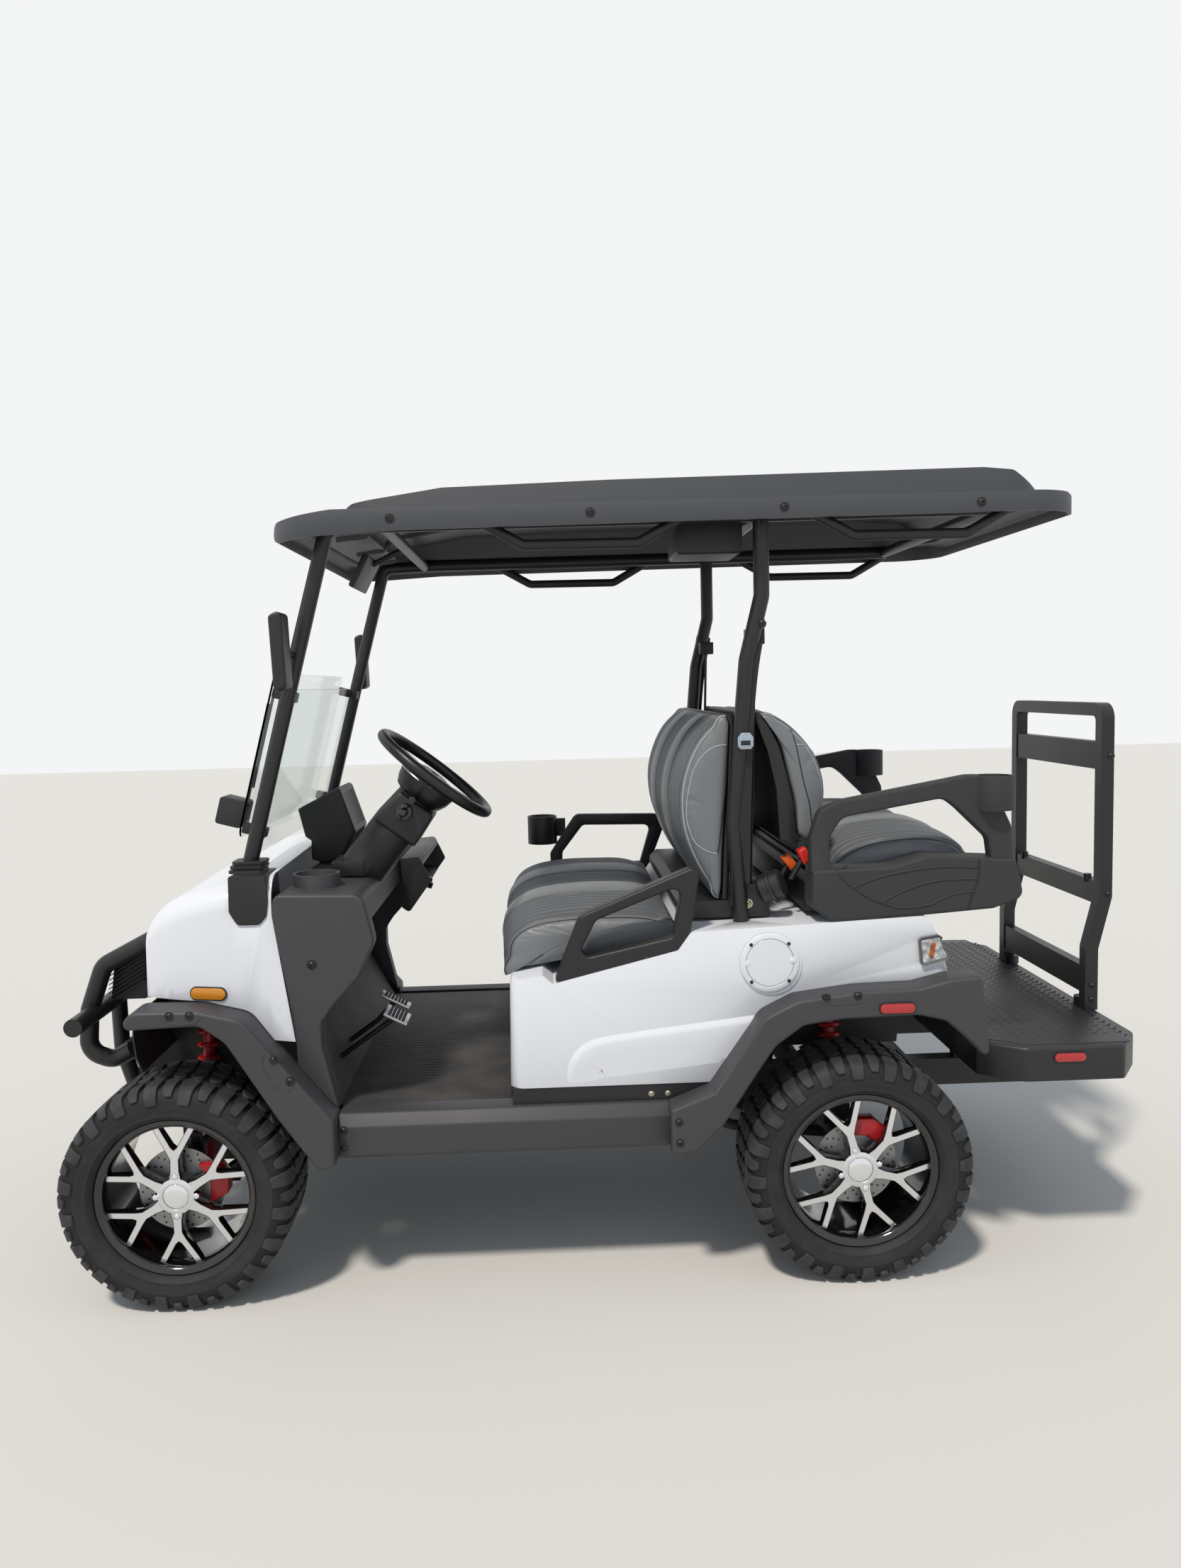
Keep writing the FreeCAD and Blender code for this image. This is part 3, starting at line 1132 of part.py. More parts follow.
def rim(x, side):
    """Barrel, hub, forked spokes near the outer face, and the brake disc on the hub's inner end."""
    y = side * WHEEL_Y
    seat, lip, half = RIM_SEAT_R, RIM_FLANGE_R, RIM_HALF
    barrel = turned(x, AXLE_Z, y, [(seat - RIM_T, -half), (lip, -half), (lip, FLANGE_T - half),
                                   (seat, FLANGE_T - half), (seat, half - FLANGE_T), (lip, half - FLANGE_T),
                                   (lip, half), (seat - RIM_T, half)])
    parts = [barrel, rod((x, y + side * 10, AXLE_Z), (x, y + side * 88, AXLE_Z), 48)]
    face = y + (60 if side > 0 else -82)
    for i in range(SPOKES):
        stem = box(-12, 12, 0, 22, 40, 110)
        spoke = stem
        for lean in (-28, 28):
            fork = box(-8, 8, 0, 22, 0, seat - 97.8)
            fork.rotate(Vector(0, 0, 0), Vector(0, 1, 0), lean)
            fork.translate(Vector(0, 0, 100))
            spoke = spoke.fuse(fork)
        spoke.rotate(Vector(0, 0, 0), Vector(0, 1, 0), 360 * i / SPOKES + (0 if x > 0 else 15))
        spoke.translate(Vector(x, face, AXLE_Z))
        parts.append(spoke)
    disc = turned(x, AXLE_Z, y, [(30, -side * 42), (105, -side * 42), (105, -side * 36), (40, -side * 36),
                                 (40, side * 12), (30, side * 12)])
    wheel = joined(parts + [disc])
    return wheel.cut(rod((x, y - side * 60, AXLE_Z), (x, y + side * 50, AXLE_Z), AXLE_R + FIT))


NODES = {
    "chassis_frame": chassis_frame,
    "floor_pan": floor_pan,
    "floor_mat": floor_mat,
    "rockers": rockers,
    "front_body": front_body,
    "front_flares": front_flares,
    "dash": dash,
    "knee_panel": knee_panel,
    "rear_body": rear_body,
    "rear_flares": rear_flares,
    "bumper": bumper,
    "grille": grille,
    "head_lamps": head_lamps,
    "tail_lamps": tail_lamps,
    "roof": roof,
    "roof_frame": roof_frame,
    "pillar_boots": pillar_boots,
    "roof_handles": roof_handles,
    "overhead_box": overhead_box,
    "windshield": windshield,
    "windshield_fittings": windshield_fittings,
    "mirrors": mirrors,
    "steering_column": steering_column,
    "steering_wheel": steering_wheel,
    "display": display,
    "pedals": pedals,
    "front_cushion": front_cushion,
    "front_backrest": front_backrest,
    "seat_back_frame": seat_back_frame,
    "rear_backrest": rear_backrest,
    "rear_cushion": rear_cushion,
    "rear_seat_deck": rear_seat_deck,
    "rear_seat_base": rear_seat_base,
    "rear_side_panels": rear_side_panels,
    "front_armrests": front_armrests,
    "step": step,
    "grab_bar": grab_bar,
    "battery": battery,
    "rear_axle": rear_axle,
    "front_suspension": front_suspension,
    "springs": springs,
    "tie_rod": tie_rod,
    "seat_belts": seat_belts,
    "belt_hardware": belt_hardware,
}

shapes = {name: make() for name, make in NODES.items()}
for side, name in ((1, "left"), (-1, "right")):
    shapes["knuckle_" + name] = knuckle(side)
    for x, end in ((FRONT_X, "front"), (REAR_X, "rear")):
        shapes["tyre_" + end + "_" + name] = tyre(x, side)
        shapes["rim_" + end + "_" + name] = rim(x, side)

os.makedirs("parts", exist_ok=True)
whole = Part.makeCompound(list(shapes.values())).optimalBoundingBox(False)
middle = (whole.XMin + whole.XMax) / 2
print("length", whole.XLength, "width", whole.YLength, "height", whole.ZLength, "middle", middle)
for name, shape in shapes.items():
    shape.translate(Vector(-middle, 0, TYRE_R - AXLE_Z))
    if not shape.isValid():
        print("not valid", name)
    print(name, len(shape.Solids), round(shape.Volume / 1e6, 3))
    shape.exportStep("parts/" + name + ".step")
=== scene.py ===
import bpy
import math
from mathutils import Matrix, Vector


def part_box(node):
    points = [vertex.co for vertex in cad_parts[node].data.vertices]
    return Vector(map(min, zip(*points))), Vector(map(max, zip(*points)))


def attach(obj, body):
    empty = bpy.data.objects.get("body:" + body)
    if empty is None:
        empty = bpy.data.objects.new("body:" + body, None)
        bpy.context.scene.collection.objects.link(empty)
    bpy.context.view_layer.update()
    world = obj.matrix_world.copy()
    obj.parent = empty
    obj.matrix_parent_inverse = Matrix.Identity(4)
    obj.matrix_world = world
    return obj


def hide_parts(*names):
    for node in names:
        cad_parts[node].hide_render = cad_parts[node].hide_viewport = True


# Golf cart with four seats, dressed over its CAD frame. Lengths are metres, apart from places on
# the cart, which are millimetres from the middle of its wheelbase.
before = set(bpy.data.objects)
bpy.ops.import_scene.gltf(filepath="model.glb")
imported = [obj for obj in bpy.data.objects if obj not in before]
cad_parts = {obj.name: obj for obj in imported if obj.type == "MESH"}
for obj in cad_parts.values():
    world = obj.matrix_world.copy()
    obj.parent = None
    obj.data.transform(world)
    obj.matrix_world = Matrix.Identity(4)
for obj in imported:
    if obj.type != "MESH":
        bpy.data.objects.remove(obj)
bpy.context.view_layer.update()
bpy.ops.object.select_all(action="DESELECT")


# Camera: it stands off the cart's left side at eye height, turned a little to the rear and held
# slightly out of level. The cart's place in the frame follows the front axle.
WHEELBASE = 1.690
tyre_low, tyre_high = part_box("tyre_front_left")
MID_X = (tyre_low.x + tyre_high.x) / 2 - WHEELBASE / 2
IMAGE_HEIGHT = 2212
FOCAL_PX = 1609.9
YAW = -0.0343
PITCH = -0.0865
ROLL = 0.0246
CAMERA_MM = (-100.9, 3369.6, 1508.2)


def place(x, y, z):
    """A point on the cart in metres, from millimetres measured from the middle of the wheelbase."""
    return Vector((MID_X + x / 1000, y / 1000, z / 1000))


right, up, ahead = Vector((-1, 0, 0)), Vector((0, 0, 1)), Vector((0, -1, 0))
turn = Matrix.Rotation(YAW, 3, up)
right, ahead = turn @ right, turn @ ahead
turn = Matrix.Rotation(PITCH, 3, right)
up, ahead = turn @ up, turn @ ahead
turn = Matrix.Rotation(ROLL, 3, ahead)
up, right = turn @ up, turn @ right
lens = bpy.data.cameras.new("camera")
lens.sensor_fit = "VERTICAL"
lens.sensor_height = 36.0
lens.lens = FOCAL_PX / IMAGE_HEIGHT * lens.sensor_height
camera = bpy.data.objects.new("camera", lens)
bpy.context.scene.collection.objects.link(camera)
axes = Matrix((right, up, -ahead)).transposed().to_4x4()
camera.matrix_world = Matrix.Translation(place(*CAMERA_MM)) @ axes
bpy.context.scene.camera = camera


# Floor and light: a plain pale floor that runs out of sight, a bright sky to fill the shadows,
# and one large lamp high on the left, in front, where the sun stood. What the camera, clear sheet
# and metal see behind the cart is a plain pale backdrop.
def linear(code):
    """A linear colour from an sRGB hex value."""
    parts = [int(code[i:i + 2], 16) / 255 for i in (1, 3, 5)]
    return [c / 12.92 if c <= 0.04045 else ((c + 0.055) / 1.055) ** 2.4 for c in parts] + [1.0]


def add(tree, kind, settings=None, **inputs):
    """A shader node with its settings, and with a value or a link for each input named."""
    node = tree.nodes.new("ShaderNode" + kind)
    for name, value in (settings or {}).items():
        setattr(node, name, value)
    for name, value in inputs.items():
        socket = node.inputs[name.replace("_", " ")]
        if isinstance(value, bpy.types.NodeSocket):
            tree.links.new(value, socket)
        else:
            socket.default_value = value
    return node


world = bpy.data.worlds.new("sky")
bpy.context.scene.world = world
world.use_nodes = True
sky = world.node_tree
sky.nodes.clear()
SKY_FILL = 0.55
SUN_POWER = 2.5
rays = add(sky, "LightPath")
through_glass = add(sky, "Math", {"operation": "MAXIMUM"})
sky.links.new(rays.outputs["Is Camera Ray"], through_glass.inputs[0])
sky.links.new(rays.outputs["Is Transmission Ray"], through_glass.inputs[1])
seen = add(sky, "Math", {"operation": "MAXIMUM"})
sky.links.new(through_glass.outputs[0], seen.inputs[0])
sky.links.new(rays.outputs["Is Glossy Ray"], seen.inputs[1])
fill = add(sky, "Background", Color=linear("#e4edf7"), Strength=SKY_FILL)
backdrop = add(sky, "Background", Color=linear("#f4f5f6"), Strength=1.0)
blend = add(sky, "MixShader", Fac=seen.outputs[0])
sky.links.new(fill.outputs[0], blend.inputs[1])
sky.links.new(backdrop.outputs[0], blend.inputs[2])
add(sky, "OutputWorld", Surface=blend.outputs[0])

lamp = bpy.data.lights.new("sun", "SUN")
lamp.energy = SUN_POWER
lamp.angle = math.radians(6)
lamp.color = linear("#fff6ea")[:3]
sun = bpy.data.objects.new("sun", lamp)
bpy.context.scene.collection.objects.link(sun)
sun.rotation_euler = Vector((-0.30, -0.52, -1.0)).to_track_quat("-Z", "Y").to_euler()

bpy.ops.mesh.primitive_plane_add(size=40, location=(0, 0, 0))
floor = bpy.context.object
floor.name = "floor"
# The floor: matt and pale, so that it keeps the cart's shadow
concrete = bpy.data.materials.new("pale_floor")
concrete.use_nodes = True
shader = concrete.node_tree.nodes["Principled BSDF"]
shader.inputs["Base Color"].default_value = linear("#d9d8d5")
shader.inputs["Roughness"].default_value = 0.9
floor.data.materials.append(concrete)
bpy.ops.object.select_all(action="DESELECT")
bpy.context.scene.view_settings.view_transform = "Standard"


# Chassis: welded box section, painted by powder that is baked on, which leaves a satin black
# skin with a faint orange peel. The battery and the axle show only from below.
def new_material(name):
    """A material with its node tree and its Principled shader."""
    material = bpy.data.materials.new(name)
    material.use_nodes = True
    return material, material.node_tree, material.node_tree.nodes["Principled BSDF"]


def coated(name, code, roughness, peel_mm, depth_mm):
    """A finish with a fine pebbled skin: moulded plastic, baked powder or paint."""
    material, tree, shader = new_material(name)
    spots = add(tree, "TexCoord")
    peel = add(tree, "TexNoise", Vector=spots.outputs["Object"], Scale=1000 / peel_mm, Detail=1.5)
    relief = add(tree, "Bump", Height=peel.outputs["Fac"], Distance=depth_mm / 1000, Strength=0.8)
    wear = add(tree, "TexNoise", Vector=spots.outputs["Object"], Scale=7.0, Detail=3.0)
    rough = add(tree, "MapRange", Value=wear.outputs["Fac"])
    rough.inputs["To Min"].default_value = roughness - 0.06
    rough.inputs["To Max"].default_value = roughness + 0.06
    shader.inputs["Base Color"].default_value = linear(code)
    tree.links.new(rough.outputs["Result"], shader.inputs["Roughness"])
    tree.links.new(relief.outputs["Normal"], shader.inputs["Normal"])
    return material


def dress(node, material):
    """Give a CAD node its finish."""
    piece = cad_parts[node]
    piece.data.materials.clear()
    piece.data.materials.append(material)


def recast(node, material, body="chassis", bevel_mm=0.0, smooth_deg=32):
    """A copy of a CAD node whose loose triangles are merged, so that light runs over its curves."""
    piece = bpy.data.objects.new(node + "_skin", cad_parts[node].data.copy())
    bpy.context.scene.collection.objects.link(piece)
    bpy.ops.object.select_all(action="DESELECT")
    bpy.context.view_layer.objects.active = piece
    piece.select_set(True)
    bpy.ops.mesh.customdata_custom_splitnormals_clear()
    bpy.ops.object.mode_set(mode="EDIT")
    bpy.ops.mesh.select_all(action="SELECT")
    bpy.ops.mesh.remove_doubles(threshold=0.00002)
    bpy.ops.mesh.dissolve_limited(angle_limit=math.radians(0.5))
    bpy.ops.object.mode_set(mode="OBJECT")
    if bevel_mm:
        bevel = piece.modifiers.new("edge", "BEVEL")
        bevel.width = bevel_mm / 1000
        bevel.segments = 2
        bevel.angle_limit = math.radians(38)
        bpy.ops.object.modifier_apply(modifier="edge")
    bpy.ops.object.shade_smooth_by_angle(angle=math.radians(smooth_deg))
    piece.data.materials.clear()
    piece.data.materials.append(material)
    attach(piece, body)
    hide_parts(node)
    bpy.ops.object.select_all(action="DESELECT")
    return piece


# Powder coat: a satin black skin, a little uneven in gloss
powder_black = coated("powder_coated_steel_black", "#17181a", 0.42, 3.0, 0.05)
for node in ("chassis_frame", "front_suspension", "tie_rod"):
    dress(node, powder_black)
# The battery's case: dull moulded plastic
dress("battery", coated("abs_case_black", "#1b1c1e", 0.6, 2.0, 0.05))
# Painted castings: matt, with the grain of the sand mould
cast_iron = coated("cast_iron_painted", "#222325", 0.65, 4.0, 0.3)
for node in ("rear_axle", "knuckle_left", "knuckle_right"):
    dress(node, cast_iron)
# The springs' enamel: smooth and bright red
dress("springs", coated("spring_steel_painted_red", "#b0151c", 0.3, 3.0, 0.03))


# Tyres: all-terrain rubber on a 14 inch rim. Blocks stand on the tread and wrap over the shoulder,
# long and short by turns, and a ridge guards the rim. One tyre is modelled, and the other three
# are copies turned on their axles. The rubber is near black and matt, with dust in patches.
tyre_rubber, tree, shader = new_material("tyre_rubber")
spots = add(tree, "TexCoord")
grit = add(tree, "TexNoise", Vector=spots.outputs["Object"], Scale=420.0, Detail=2.0)
relief = add(tree, "Bump", Height=grit.outputs["Fac"], Distance=0.0002, Strength=0.7)
dust = add(tree, "TexNoise", Vector=spots.outputs["Object"], Scale=22.0, Detail=4.0)
tone = add(tree, "ValToRGB", Fac=dust.outputs["Fac"])
tone.color_ramp.elements[0].position = 0.42
tone.color_ramp.elements[0].color = linear("#191b1d")
tone.color_ramp.elements[1].position = 0.78
tone.color_ramp.elements[1].color = linear("#27292c")
tree.links.new(tone.outputs["Color"], shader.inputs["Base Color"])
tree.links.new(relief.outputs["Normal"], shader.inputs["Normal"])
shader.inputs["Roughness"].default_value = 0.72

# The tread's blocks look paler where dust lies on them, and the grooves between them are darkened with
# painted shade
tread_rubber = tyre_rubber.copy()
tread_rubber.name = "tyre_rubber_dusty"
groove_rubber_painted_shade = tyre_rubber.copy()
groove_rubber_painted_shade.name = "tyre_rubber_groove_painted_shade"


def recoloured(material, codes):
    """Give the colour ramp of a copied material other colours."""
    for node in material.node_tree.nodes:
        if node.bl_idname == "ShaderNodeValToRGB":
            for element, code in zip(node.color_ramp.elements, codes):
                element.color = linear(code)


for material, codes in ((tread_rubber, ("#26282b", "#3d3f42")), (groove_rubber_painted_shade, ("#0a0b0c", "#121314"))):
    recoloured(material, codes)

TYRE_RADIUS = (tyre_high.z - tyre_low.z) / 2
PITCHES = 20
GROOVE_DEPTH = 0.040
# Columns: how far the skin lies under the full radius, offset from the tyre's middle, millimetres
SKIN_MM = [(108.0, 91.0), (89.5, 92.5), (88.5, 99.0), (80.0, 108.0), (75.0, 112.5), (71.0, 112.0),
           (66.0, 113.0), (52.0, 117.0), (46.0, 117.0), (32.0, 113.5), (20.0, 107.0), (12.0, 99.0),
           (9.0, 88.0), (8.4, 60.0), (8.0, 30.0), (8.0, 0.0)]
# Blocks of one pitch: corners round the tread and out from its middle, in millimetres
BLOCKS_MM = [
    [(3, 3), (27, 2), (39, 13), (35, 31), (22, 42), (5, 37), (-3, 19)],
    [(48, 7), (75, 4), (82, 19), (76, 38), (61, 44), (47, 31)],
    [(2, 54), (20, 47), (36, 51), (40, 74), (41, 104), (39, 137), (8, 137), (7, 104), (4, 78)],
    [(51, 57), (72, 53), (80, 60), (82, 82), (81, 108), (76, 119), (58, 119), (55, 104), (53, 78)],
]
BLOCK_TALL = 0.0079
BLOCK_SUNK = 0.002
# Blocks are cut across here, so that they bend round the shoulder, and grow lower past its turn
BLOCK_CUTS_MM = (30, 64, 84, 96, 106, 118, 130)
SHOULDER_TURN = 0.108
SHOULDER_FADE = 0.03
SHOULDER_LOWER = 0.4


def drawn(name, points, closed=False):
    """A line through points, as edges of a mesh."""
    curve = bpy.data.curves.new(name, "CURVE")
    curve.dimensions = "3D"
    line = curve.splines.new("POLY")
    line.points.add(len(points) - 1)
    for spot, point in zip(line.points, points):
        spot.co = (*point, 1.0)
    line.use_cyclic_u = closed
    piece = bpy.data.objects.new(name, curve)
    bpy.context.scene.collection.objects.link(piece)
    bpy.ops.object.select_all(action="DESELECT")
    bpy.context.view_layer.objects.active = piece
    piece.select_set(True)
    bpy.ops.object.convert(target="MESH")
    return bpy.context.object


def spun(name, section, steps, closed=False):
    """A body turned about the Y axis, from a section of (radius, offset)."""
    piece = drawn(name, [(0.0, y, r) for r, y in section], closed)
    bpy.ops.object.mode_set(mode="EDIT")
    bpy.ops.mesh.select_all(action="SELECT")
    bpy.ops.mesh.spin(steps=steps, angle=2 * math.pi, center=(0, 0, 0), axis=(0, 1, 0))
    bpy.ops.mesh.select_all(action="SELECT")
    bpy.ops.mesh.remove_doubles(threshold=0.00005)
    bpy.ops.mesh.normals_make_consistent(inside=False)
    bpy.ops.object.mode_set(mode="OBJECT")
    return piece


def extruded(name, corners, tall):
    """A plate of an outline: its corners in X and Y, raised along Z."""
    piece = drawn(name, [(x, y, 0.0) for x, y in corners], closed=True)
    bpy.ops.object.mode_set(mode="EDIT")
    bpy.ops.mesh.select_all(action="SELECT")
    bpy.ops.mesh.edge_face_add()
    bpy.ops.mesh.extrude_region_move(TRANSFORM_OT_translate={"value": (0, 0, tall)})
    bpy.ops.mesh.select_all(action="SELECT")
    bpy.ops.mesh.normals_make_consistent(inside=False)
    bpy.ops.object.mode_set(mode="OBJECT")
    return piece


def bevelled(piece, width, segments=2, angle=35):
    """Round the sharp edges of a piece."""
    bevel = piece.modifiers.new("edge", "BEVEL")
    bevel.width = width
    bevel.segments = segments
    bevel.angle_limit = math.radians(angle)
    bpy.context.view_layer.objects.active = piece
    bpy.ops.object.modifier_apply(modifier="edge")
    return piece


def joined(pieces):
    """One piece of several, under the first one's name."""
    bpy.ops.object.select_all(action="DESELECT")
    for piece in pieces:
        piece.select_set(True)
    bpy.context.view_layer.objects.active = pieces[0]
    bpy.ops.object.join()
    return pieces[0]


def copied(piece, matrix):
    """Another of a piece with its own mesh, moved by a matrix."""
    twin = bpy.data.objects.new(piece.name, piece.data.copy())
    bpy.context.scene.collection.objects.link(twin)
    twin.data.transform(matrix)
    if matrix.determinant() < 0:
        twin.data.flip_normals()
    return twin


def finished(piece, name, body, material=None, smooth_deg=35):
    """Name a piece, give it its finish and let it ride on its body."""
    bpy.ops.object.select_all(action="DESELECT")
    piece.select_set(True)
    bpy.context.view_layer.objects.active = piece
    bpy.ops.object.transform_apply(location=True, rotation=True, scale=True)
    bpy.ops.object.shade_smooth_by_angle(angle=math.radians(smooth_deg))
    piece.name = name
    if material:
        piece.data.materials.clear()
        piece.data.materials.append(material)
    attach(piece, body)
    bpy.ops.object.select_all(action="DESELECT")
    return piece


skin = [(TYRE_RADIUS - drop / 1000, y / 1000) for drop, y in SKIN_MM]
carcass = spun("carcass", skin + [(r, -y) for r, y in skin[-2::-1]], 96, closed=True)
carcass.data.materials.append(tyre_rubber)
carcass.data.materials.append(groove_rubber_painted_shade)
# Carcass faces out in the tread's grooves take the near-black rubber: painted shade between the blocks
for face in carcass.data.polygons:
    radius = math.hypot(face.center.x, face.center.z)
    face.material_index = 1 if radius > TYRE_RADIUS - GROOVE_DEPTH else 0


def on_skin(across, height):
    """Radius and offset at a distance out from the crown along the skin, and a height over it."""
    line = skin[::-1]
    for (r0, y0), (r1, y1) in zip(line[:-1], line[1:]):
        step = math.hypot(r1 - r0, y1 - y0)
        if across <= step or (r1, y1) == line[-1]:
            share = across / step
            return (r0 + (r1 - r0) * share + (y1 - y0) / step * height,
                    y0 + (y1 - y0) * share - (r1 - r0) / step * height)
        across -= step


blocks = []
for corners in BLOCKS_MM:
    block = extruded("block", [(round_mm / 1000, out_mm / 1000) for round_mm, out_mm in corners],
                     BLOCK_TALL + BLOCK_SUNK)
    bpy.ops.object.mode_set(mode="EDIT")
    for out_mm in BLOCK_CUTS_MM:
        bpy.ops.mesh.select_all(action="SELECT")
        bpy.ops.mesh.bisect(plane_co=(0, out_mm / 1000, 0), plane_no=(0, 1, 0))
    bpy.ops.object.mode_set(mode="OBJECT")
    bevelled(block, 0.0014, segments=1, angle=50)
    for vertex in block.data.vertices:
        lower = SHOULDER_LOWER * max(0.0, vertex.co.y - SHOULDER_TURN) / SHOULDER_FADE
        height = (vertex.co.z - BLOCK_SUNK) * (1 - min(lower, SHOULDER_LOWER))
        radius, offset = on_skin(vertex.co.y, height)
        angle = vertex.co.x / TYRE_RADIUS
        vertex.co = (radius * math.sin(angle), offset, radius * math.cos(angle))
    blocks.append(block)
pitch = joined(blocks)
pitch.data.materials.append(tread_rubber)
bpy.ops.object.mode_set(mode="EDIT")
bpy.ops.mesh.select_all(action="SELECT")
bpy.ops.mesh.normals_make_consistent(inside=False)
bpy.ops.object.mode_set(mode="OBJECT")
treads = [carcass]
for number in range(PITCHES):
    for hand in (1, -1):
        angle = 2 * math.pi * (number + (0 if hand > 0 else 0.5)) / PITCHES
        flip = Matrix.Diagonal((1, hand, 1, 1))
        treads.append(copied(pitch, Matrix.Rotation(angle, 4, "Y") @ flip))
bpy.data.objects.remove(pitch)
tyre = joined(treads)
# Each wheel's side, and how far its tread has rolled round
WHEELS = {
    "front_left": (1, 4), "front_right": (-1, 31), "rear_left": (1, 52), "rear_right": (-1, 77),
}
for corner, (side, start_deg) in WHEELS.items():
    low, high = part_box("tyre_" + corner)
    spot = Matrix.Translation((low + high) / 2)
    roll = Matrix.Rotation(math.radians(start_deg), 4, "Y") @ Matrix.Diagonal((1, side, 1, 1))
    copy = copied(tyre, spot @ roll)
    finished(copy, "tyre_tread_" + corner, "wheel_" + corner)
    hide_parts("tyre_" + corner)
bpy.data.objects.remove(tyre)


# Rims: cast aluminium painted gloss black, its six forked spokes turned bright on their faces.
# A chrome cap and four nuts fill the hub, and a drilled disc with a red caliper sits behind.
# Enamel: black with a wet gloss, where the alloy isn't turned
gloss_black, tree, shader = new_material("gloss_black_enamel")
shader.inputs["Base Color"].default_value = linear("#0d0d0e")
shader.inputs["Roughness"].default_value = 0.12
shader.inputs["Coat Weight"].default_value = 0.6
# Turned faces: bright metal whose fine tool marks blur what it mirrors
turned_alloy, tree, shader = new_material("turned_aluminium")
spots = add(tree, "TexCoord")
marks = add(tree, "TexNoise", Vector=spots.outputs["Object"], Scale=900.0, Detail=1.0)
relief = add(tree, "Bump", Height=marks.outputs["Fac"], Distance=0.00003, Strength=0.5)
shader.inputs["Base Color"].default_value = linear("#dfe0e2")
shader.inputs["Metallic"].default_value = 1.0
shader.inputs["Roughness"].default_value = 0.24
tree.links.new(relief.outputs["Normal"], shader.inputs["Normal"])
# Chrome: a clear mirror
chrome, tree, shader = new_material("chrome_plate")
shader.inputs["Base Color"].default_value = linear("#e6e8ea")
shader.inputs["Metallic"].default_value = 1.0
shader.inputs["Roughness"].default_value = 0.07
# Discs: grey steel, rubbed by the pads
disc_steel, tree, shader = new_material("brake_disc_steel")
shader.inputs["Base Color"].default_value = linear("#8f9092")
shader.inputs["Metallic"].default_value = 1.0
shader.inputs["Roughness"].default_value = 0.38
# Calipers: a smooth red enamel
caliper_red = coated("caliper_enamel_red", "#a8141c", 0.3, 3.0, 0.05)

# Section of the rim's barrel: radius, offset out from the wheel's middle
RIM_MM = [(170.0, -99.5), (195.2, -99.5), (195.4, -94.0), (189.0, -92.8), (177.6, -92.0), (177.6, 92.0),
          (189.0, 92.8), (195.4, 94.0), (195.2, 98.5), (193.0, 99.6), (186.0, 98.0), (176.0, 88.0),
          (171.0, 60.0), (169.8, 0.0)]
SPOKES = 6
NUTS = 4
NUT_CIRCLE = 0.050
HOLES_ROUND = 18
SPOKE_FACE = 0.083
SPOKE_DEEP = 0.026
# Half of a fork's outline: sideways, out from the axle, in millimetres
FORK_MM = [(17, 30), (11, 62), (10.5, 92), (18, 108), (51, 166), (48, 174), (40, 176), (36, 172),
           (7, 122), (0, 116)]
rim = spun("rim", [(r / 1000, y / 1000) for r, y in RIM_MM], 96, closed=True)
rim.data.materials.append(gloss_black)
rim.data.materials.append(turned_alloy)


def faced(piece, test, inset, sink):
    """Inset the faces that a test picks and give what lies inside them the second finish."""
    bpy.ops.object.select_all(action="DESELECT")
    bpy.context.view_layer.objects.active = piece
    piece.select_set(True)
    for part in (piece.data.vertices, piece.data.edges, piece.data.polygons):
        part.foreach_set("select", [False] * len(part))
    for face in piece.data.polygons:
        face.select = test(face)
    bpy.ops.object.mode_set(mode="EDIT")
    bpy.ops.mesh.select_mode(type="FACE")
    bpy.ops.mesh.inset(thickness=inset, depth=sink)
    bpy.ops.object.mode_set(mode="OBJECT")
    for face in piece.data.polygons:
        if face.select:
            face.material_index = 1
    return piece


outline = [(x / 1000, z / 1000) for x, z in FORK_MM]
outline += [(-x, z) for x, z in outline[-2::-1]]
fork = extruded("fork", outline, SPOKE_DEEP)
fork.data.transform(Matrix.Rotation(math.radians(90), 4, "X") @ Matrix.Diagonal((1, 1, -1, 1)))
fork.data.flip_normals()
fork.data.transform(Matrix.Translation((0, SPOKE_FACE - SPOKE_DEEP, 0)))
for vertex in fork.data.vertices:
    radius = math.hypot(vertex.co.x, vertex.co.z)
    if vertex.co.y > SPOKE_FACE - 0.01:
        vertex.co.y += 0.009 * (1 - radius / 0.178) - 0.004 * max(0.0, (radius - 0.12) / 0.058)
fork.data.materials.append(gloss_black)
fork.data.materials.append(turned_alloy)
faced(fork, lambda face: face.normal.y > 0.8, 0.0016, 0.0)
bevelled(fork, 0.0012, segments=2, angle=50)
parts = [rim]
for number in range(SPOKES):
    parts.append(copied(fork, Matrix.Rotation(2 * math.pi * number / SPOKES, 4, "Y")))
bpy.data.objects.remove(fork)
hub = spun("hub", [(r / 1000, y / 1000) for r, y in
                   [(0, 10), (47, 10), (47, 78), (45, 89), (40, 92), (33, 92.5), (31, 90), (0, 90)]], 48)
hub.data.materials.append(gloss_black)
hub.data.materials.append(turned_alloy)
for face in hub.data.polygons:
    radius = math.hypot(face.center.x, face.center.z)
    face.material_index = 1 if face.normal.y > 0.5 and radius < 0.05 else 0
parts.append(hub)
rim = joined(parts)
cap = spun("cap", [(r / 1000, y / 1000) for r, y in
                   [(0, 97.5), (12, 97.2), (22, 96), (28, 93.8), (30.5, 91.5), (30.5, 88), (0, 88)]], 48)
nuts = []
for number in range(NUTS):
    angle = 2 * math.pi * number / NUTS
    nut = spun("nut", [(r / 1000, y / 1000) for r, y in
                       [(0, 95), (3.5, 94.6), (7.2, 92.8), (8.8, 90.5), (8.8, 72), (0, 72)]], 6)
    nut.data.transform(Matrix.Translation((NUT_CIRCLE * math.sin(angle), 0, NUT_CIRCLE * math.cos(angle))))
    nuts.append(nut)
cap = joined([cap] + nuts)
